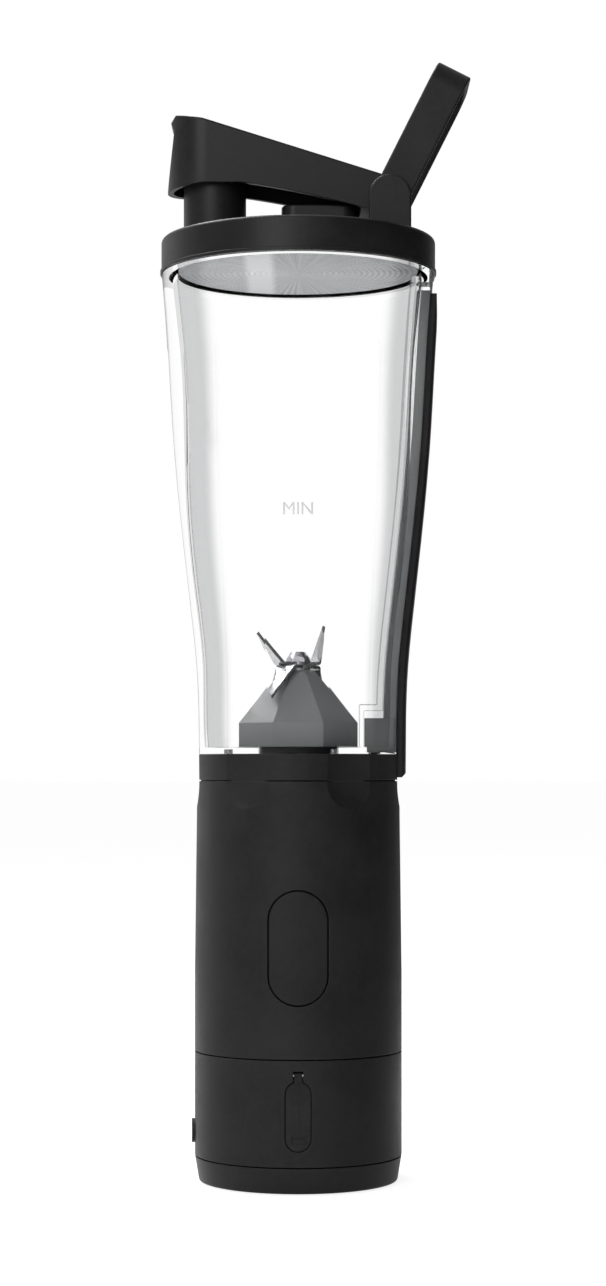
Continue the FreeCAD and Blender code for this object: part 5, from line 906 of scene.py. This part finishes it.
def studio_room(level, dark_side):
    """Surroundings that are white to the camera and dimmer to the object's own surfaces,
    for which they also go dim towards the right."""
    world = bpy.data.worlds.new("studio_room")
    world.use_nodes = True
    tree = world.node_tree
    tree.nodes.clear()
    towards = tree.nodes.new("ShaderNodeTexCoord").outputs["Generated"]
    split = wire(tree, "ShaderNodeSeparateXYZ", Vector=towards)
    side = wire(tree, "ShaderNodeMapRange", {"interpolation_type": "SMOOTHSTEP"},
                Value=split.outputs["X"], n1=-0.10, n2=0.85, n3=1.0, n4=dark_side)
    clear, off_gloss = direct_looks(tree)
    gloss = wire(tree, "ShaderNodeMapRange", Value=off_gloss, n1=0.0, n2=1.0, n3=level,
                 n4=GLOSS_ROOM)
    sided = wire(tree, "ShaderNodeMath", {"operation": "MULTIPLY"}, n0=gloss.outputs[0],
                 n1=side.outputs[0])
    strength = wire(tree, "ShaderNodeMath", {"operation": "MAXIMUM"}, n0=clear,
                    n1=sided.outputs[0])
    room = wire(tree, "ShaderNodeBackground", Color=(*WHITE, 1.0), Strength=strength.outputs[0])
    wire(tree, "ShaderNodeOutputWorld", Surface=room.outputs[0])
    bpy.context.scene.world = world


def soft_light(name, place, size, power):
    """Rectangular soft light that faces the object's middle."""
    lamp = bpy.data.lights.new(name, "AREA")
    lamp.shape = "RECTANGLE"
    lamp.size, lamp.size_y = size
    lamp.energy = power
    holder = bpy.data.objects.new(name, lamp)
    holder.location = place
    aim = Vector(LIT_MIDDLE) - Vector(place)
    holder.rotation_euler = aim.to_track_quat("-Z", "Y").to_euler()
    bpy.context.scene.collection.objects.link(holder)


def studio_camera(stage):
    """Level camera. Its shift puts the horizon, and its place the axis, on their pixels."""
    camera = bpy.data.cameras.new("camera")
    camera.sensor_width = SENSOR
    camera.sensor_fit = "AUTO"
    camera.lens = stage.focal_px * SENSOR / PICTURE_SIZE[1]
    camera.shift_y = (stage.horizon_px - PICTURE_SIZE[1] / 2) / PICTURE_SIZE[1]
    camera.clip_end = VIEW_END
    holder = bpy.data.objects.new("camera", camera)
    aside = (PICTURE_SIZE[0] / 2 - stage.axis_px) / stage.focal_px * stage.view_distance
    holder.location = (aside, -stage.view_distance, stage.view_height)
    holder.rotation_euler = (math.radians(90), 0.0, 0.0)
    bpy.context.scene.collection.objects.link(holder)
    bpy.context.scene.camera = holder


class BOTTLE_OT_stage(bpy.types.Operator):
    """Sets up the floor, surroundings, lights and camera"""
    bl_idname = "bottle.stage"
    bl_label = "Stage"

    def execute(self, context):
        stage = context.scene.bottle_stage
        context.scene.view_settings.view_transform = "Standard"
        studio_floor(stage.dark_side)
        studio_room(stage.room_level, stage.dark_side)
        for name, place, size, power in LIGHTS:
            soft_light(name, place, size, getattr(stage, power))
        studio_camera(stage)
        return {"FINISHED"}


# ================================================================ panel
OPERATORS = (BOTTLE_OT_base, BOTTLE_OT_charge_port, BOTTLE_OT_works, BOTTLE_OT_cup,
             BOTTLE_OT_blades, BOTTLE_OT_lid, BOTTLE_OT_stage)


class BOTTLE_PT_pieces(bpy.types.Panel):
    """Lists the blender's groups of pieces"""
    bl_label = "Bottle blender"
    bl_idname = "BOTTLE_PT_pieces"
    bl_space_type = "VIEW_3D"
    bl_region_type = "UI"
    bl_category = "Blender"

    def draw(self, context):
        for operator in OPERATORS:
            self.layout.operator(operator.bl_idname)


CLASSES = (BottleSizes, BottleColours, BottleStage, *OPERATORS, BOTTLE_PT_pieces)


def register():
    """Registers the classes and puts the settings on the scene."""
    for cls in CLASSES:
        bpy.utils.register_class(cls)
    bpy.types.Scene.bottle_sizes = PointerProperty(type=BottleSizes)
    bpy.types.Scene.bottle_colours = PointerProperty(type=BottleColours)
    bpy.types.Scene.bottle_stage = PointerProperty(type=BottleStage)


def unregister():
    """Takes the settings and classes away again."""
    del bpy.types.Scene.bottle_stage
    del bpy.types.Scene.bottle_colours
    del bpy.types.Scene.bottle_sizes
    for cls in reversed(CLASSES):
        bpy.utils.unregister_class(cls)


def main():
    """Builds every group and the stage."""
    register()
    bpy.ops.bottle.base()
    bpy.ops.bottle.charge_port()
    bpy.ops.bottle.works()
    bpy.ops.bottle.cup()
    bpy.ops.bottle.blades()
    bpy.ops.bottle.lid()
    bpy.ops.bottle.stage()


if __name__ == "__main__":
    main()
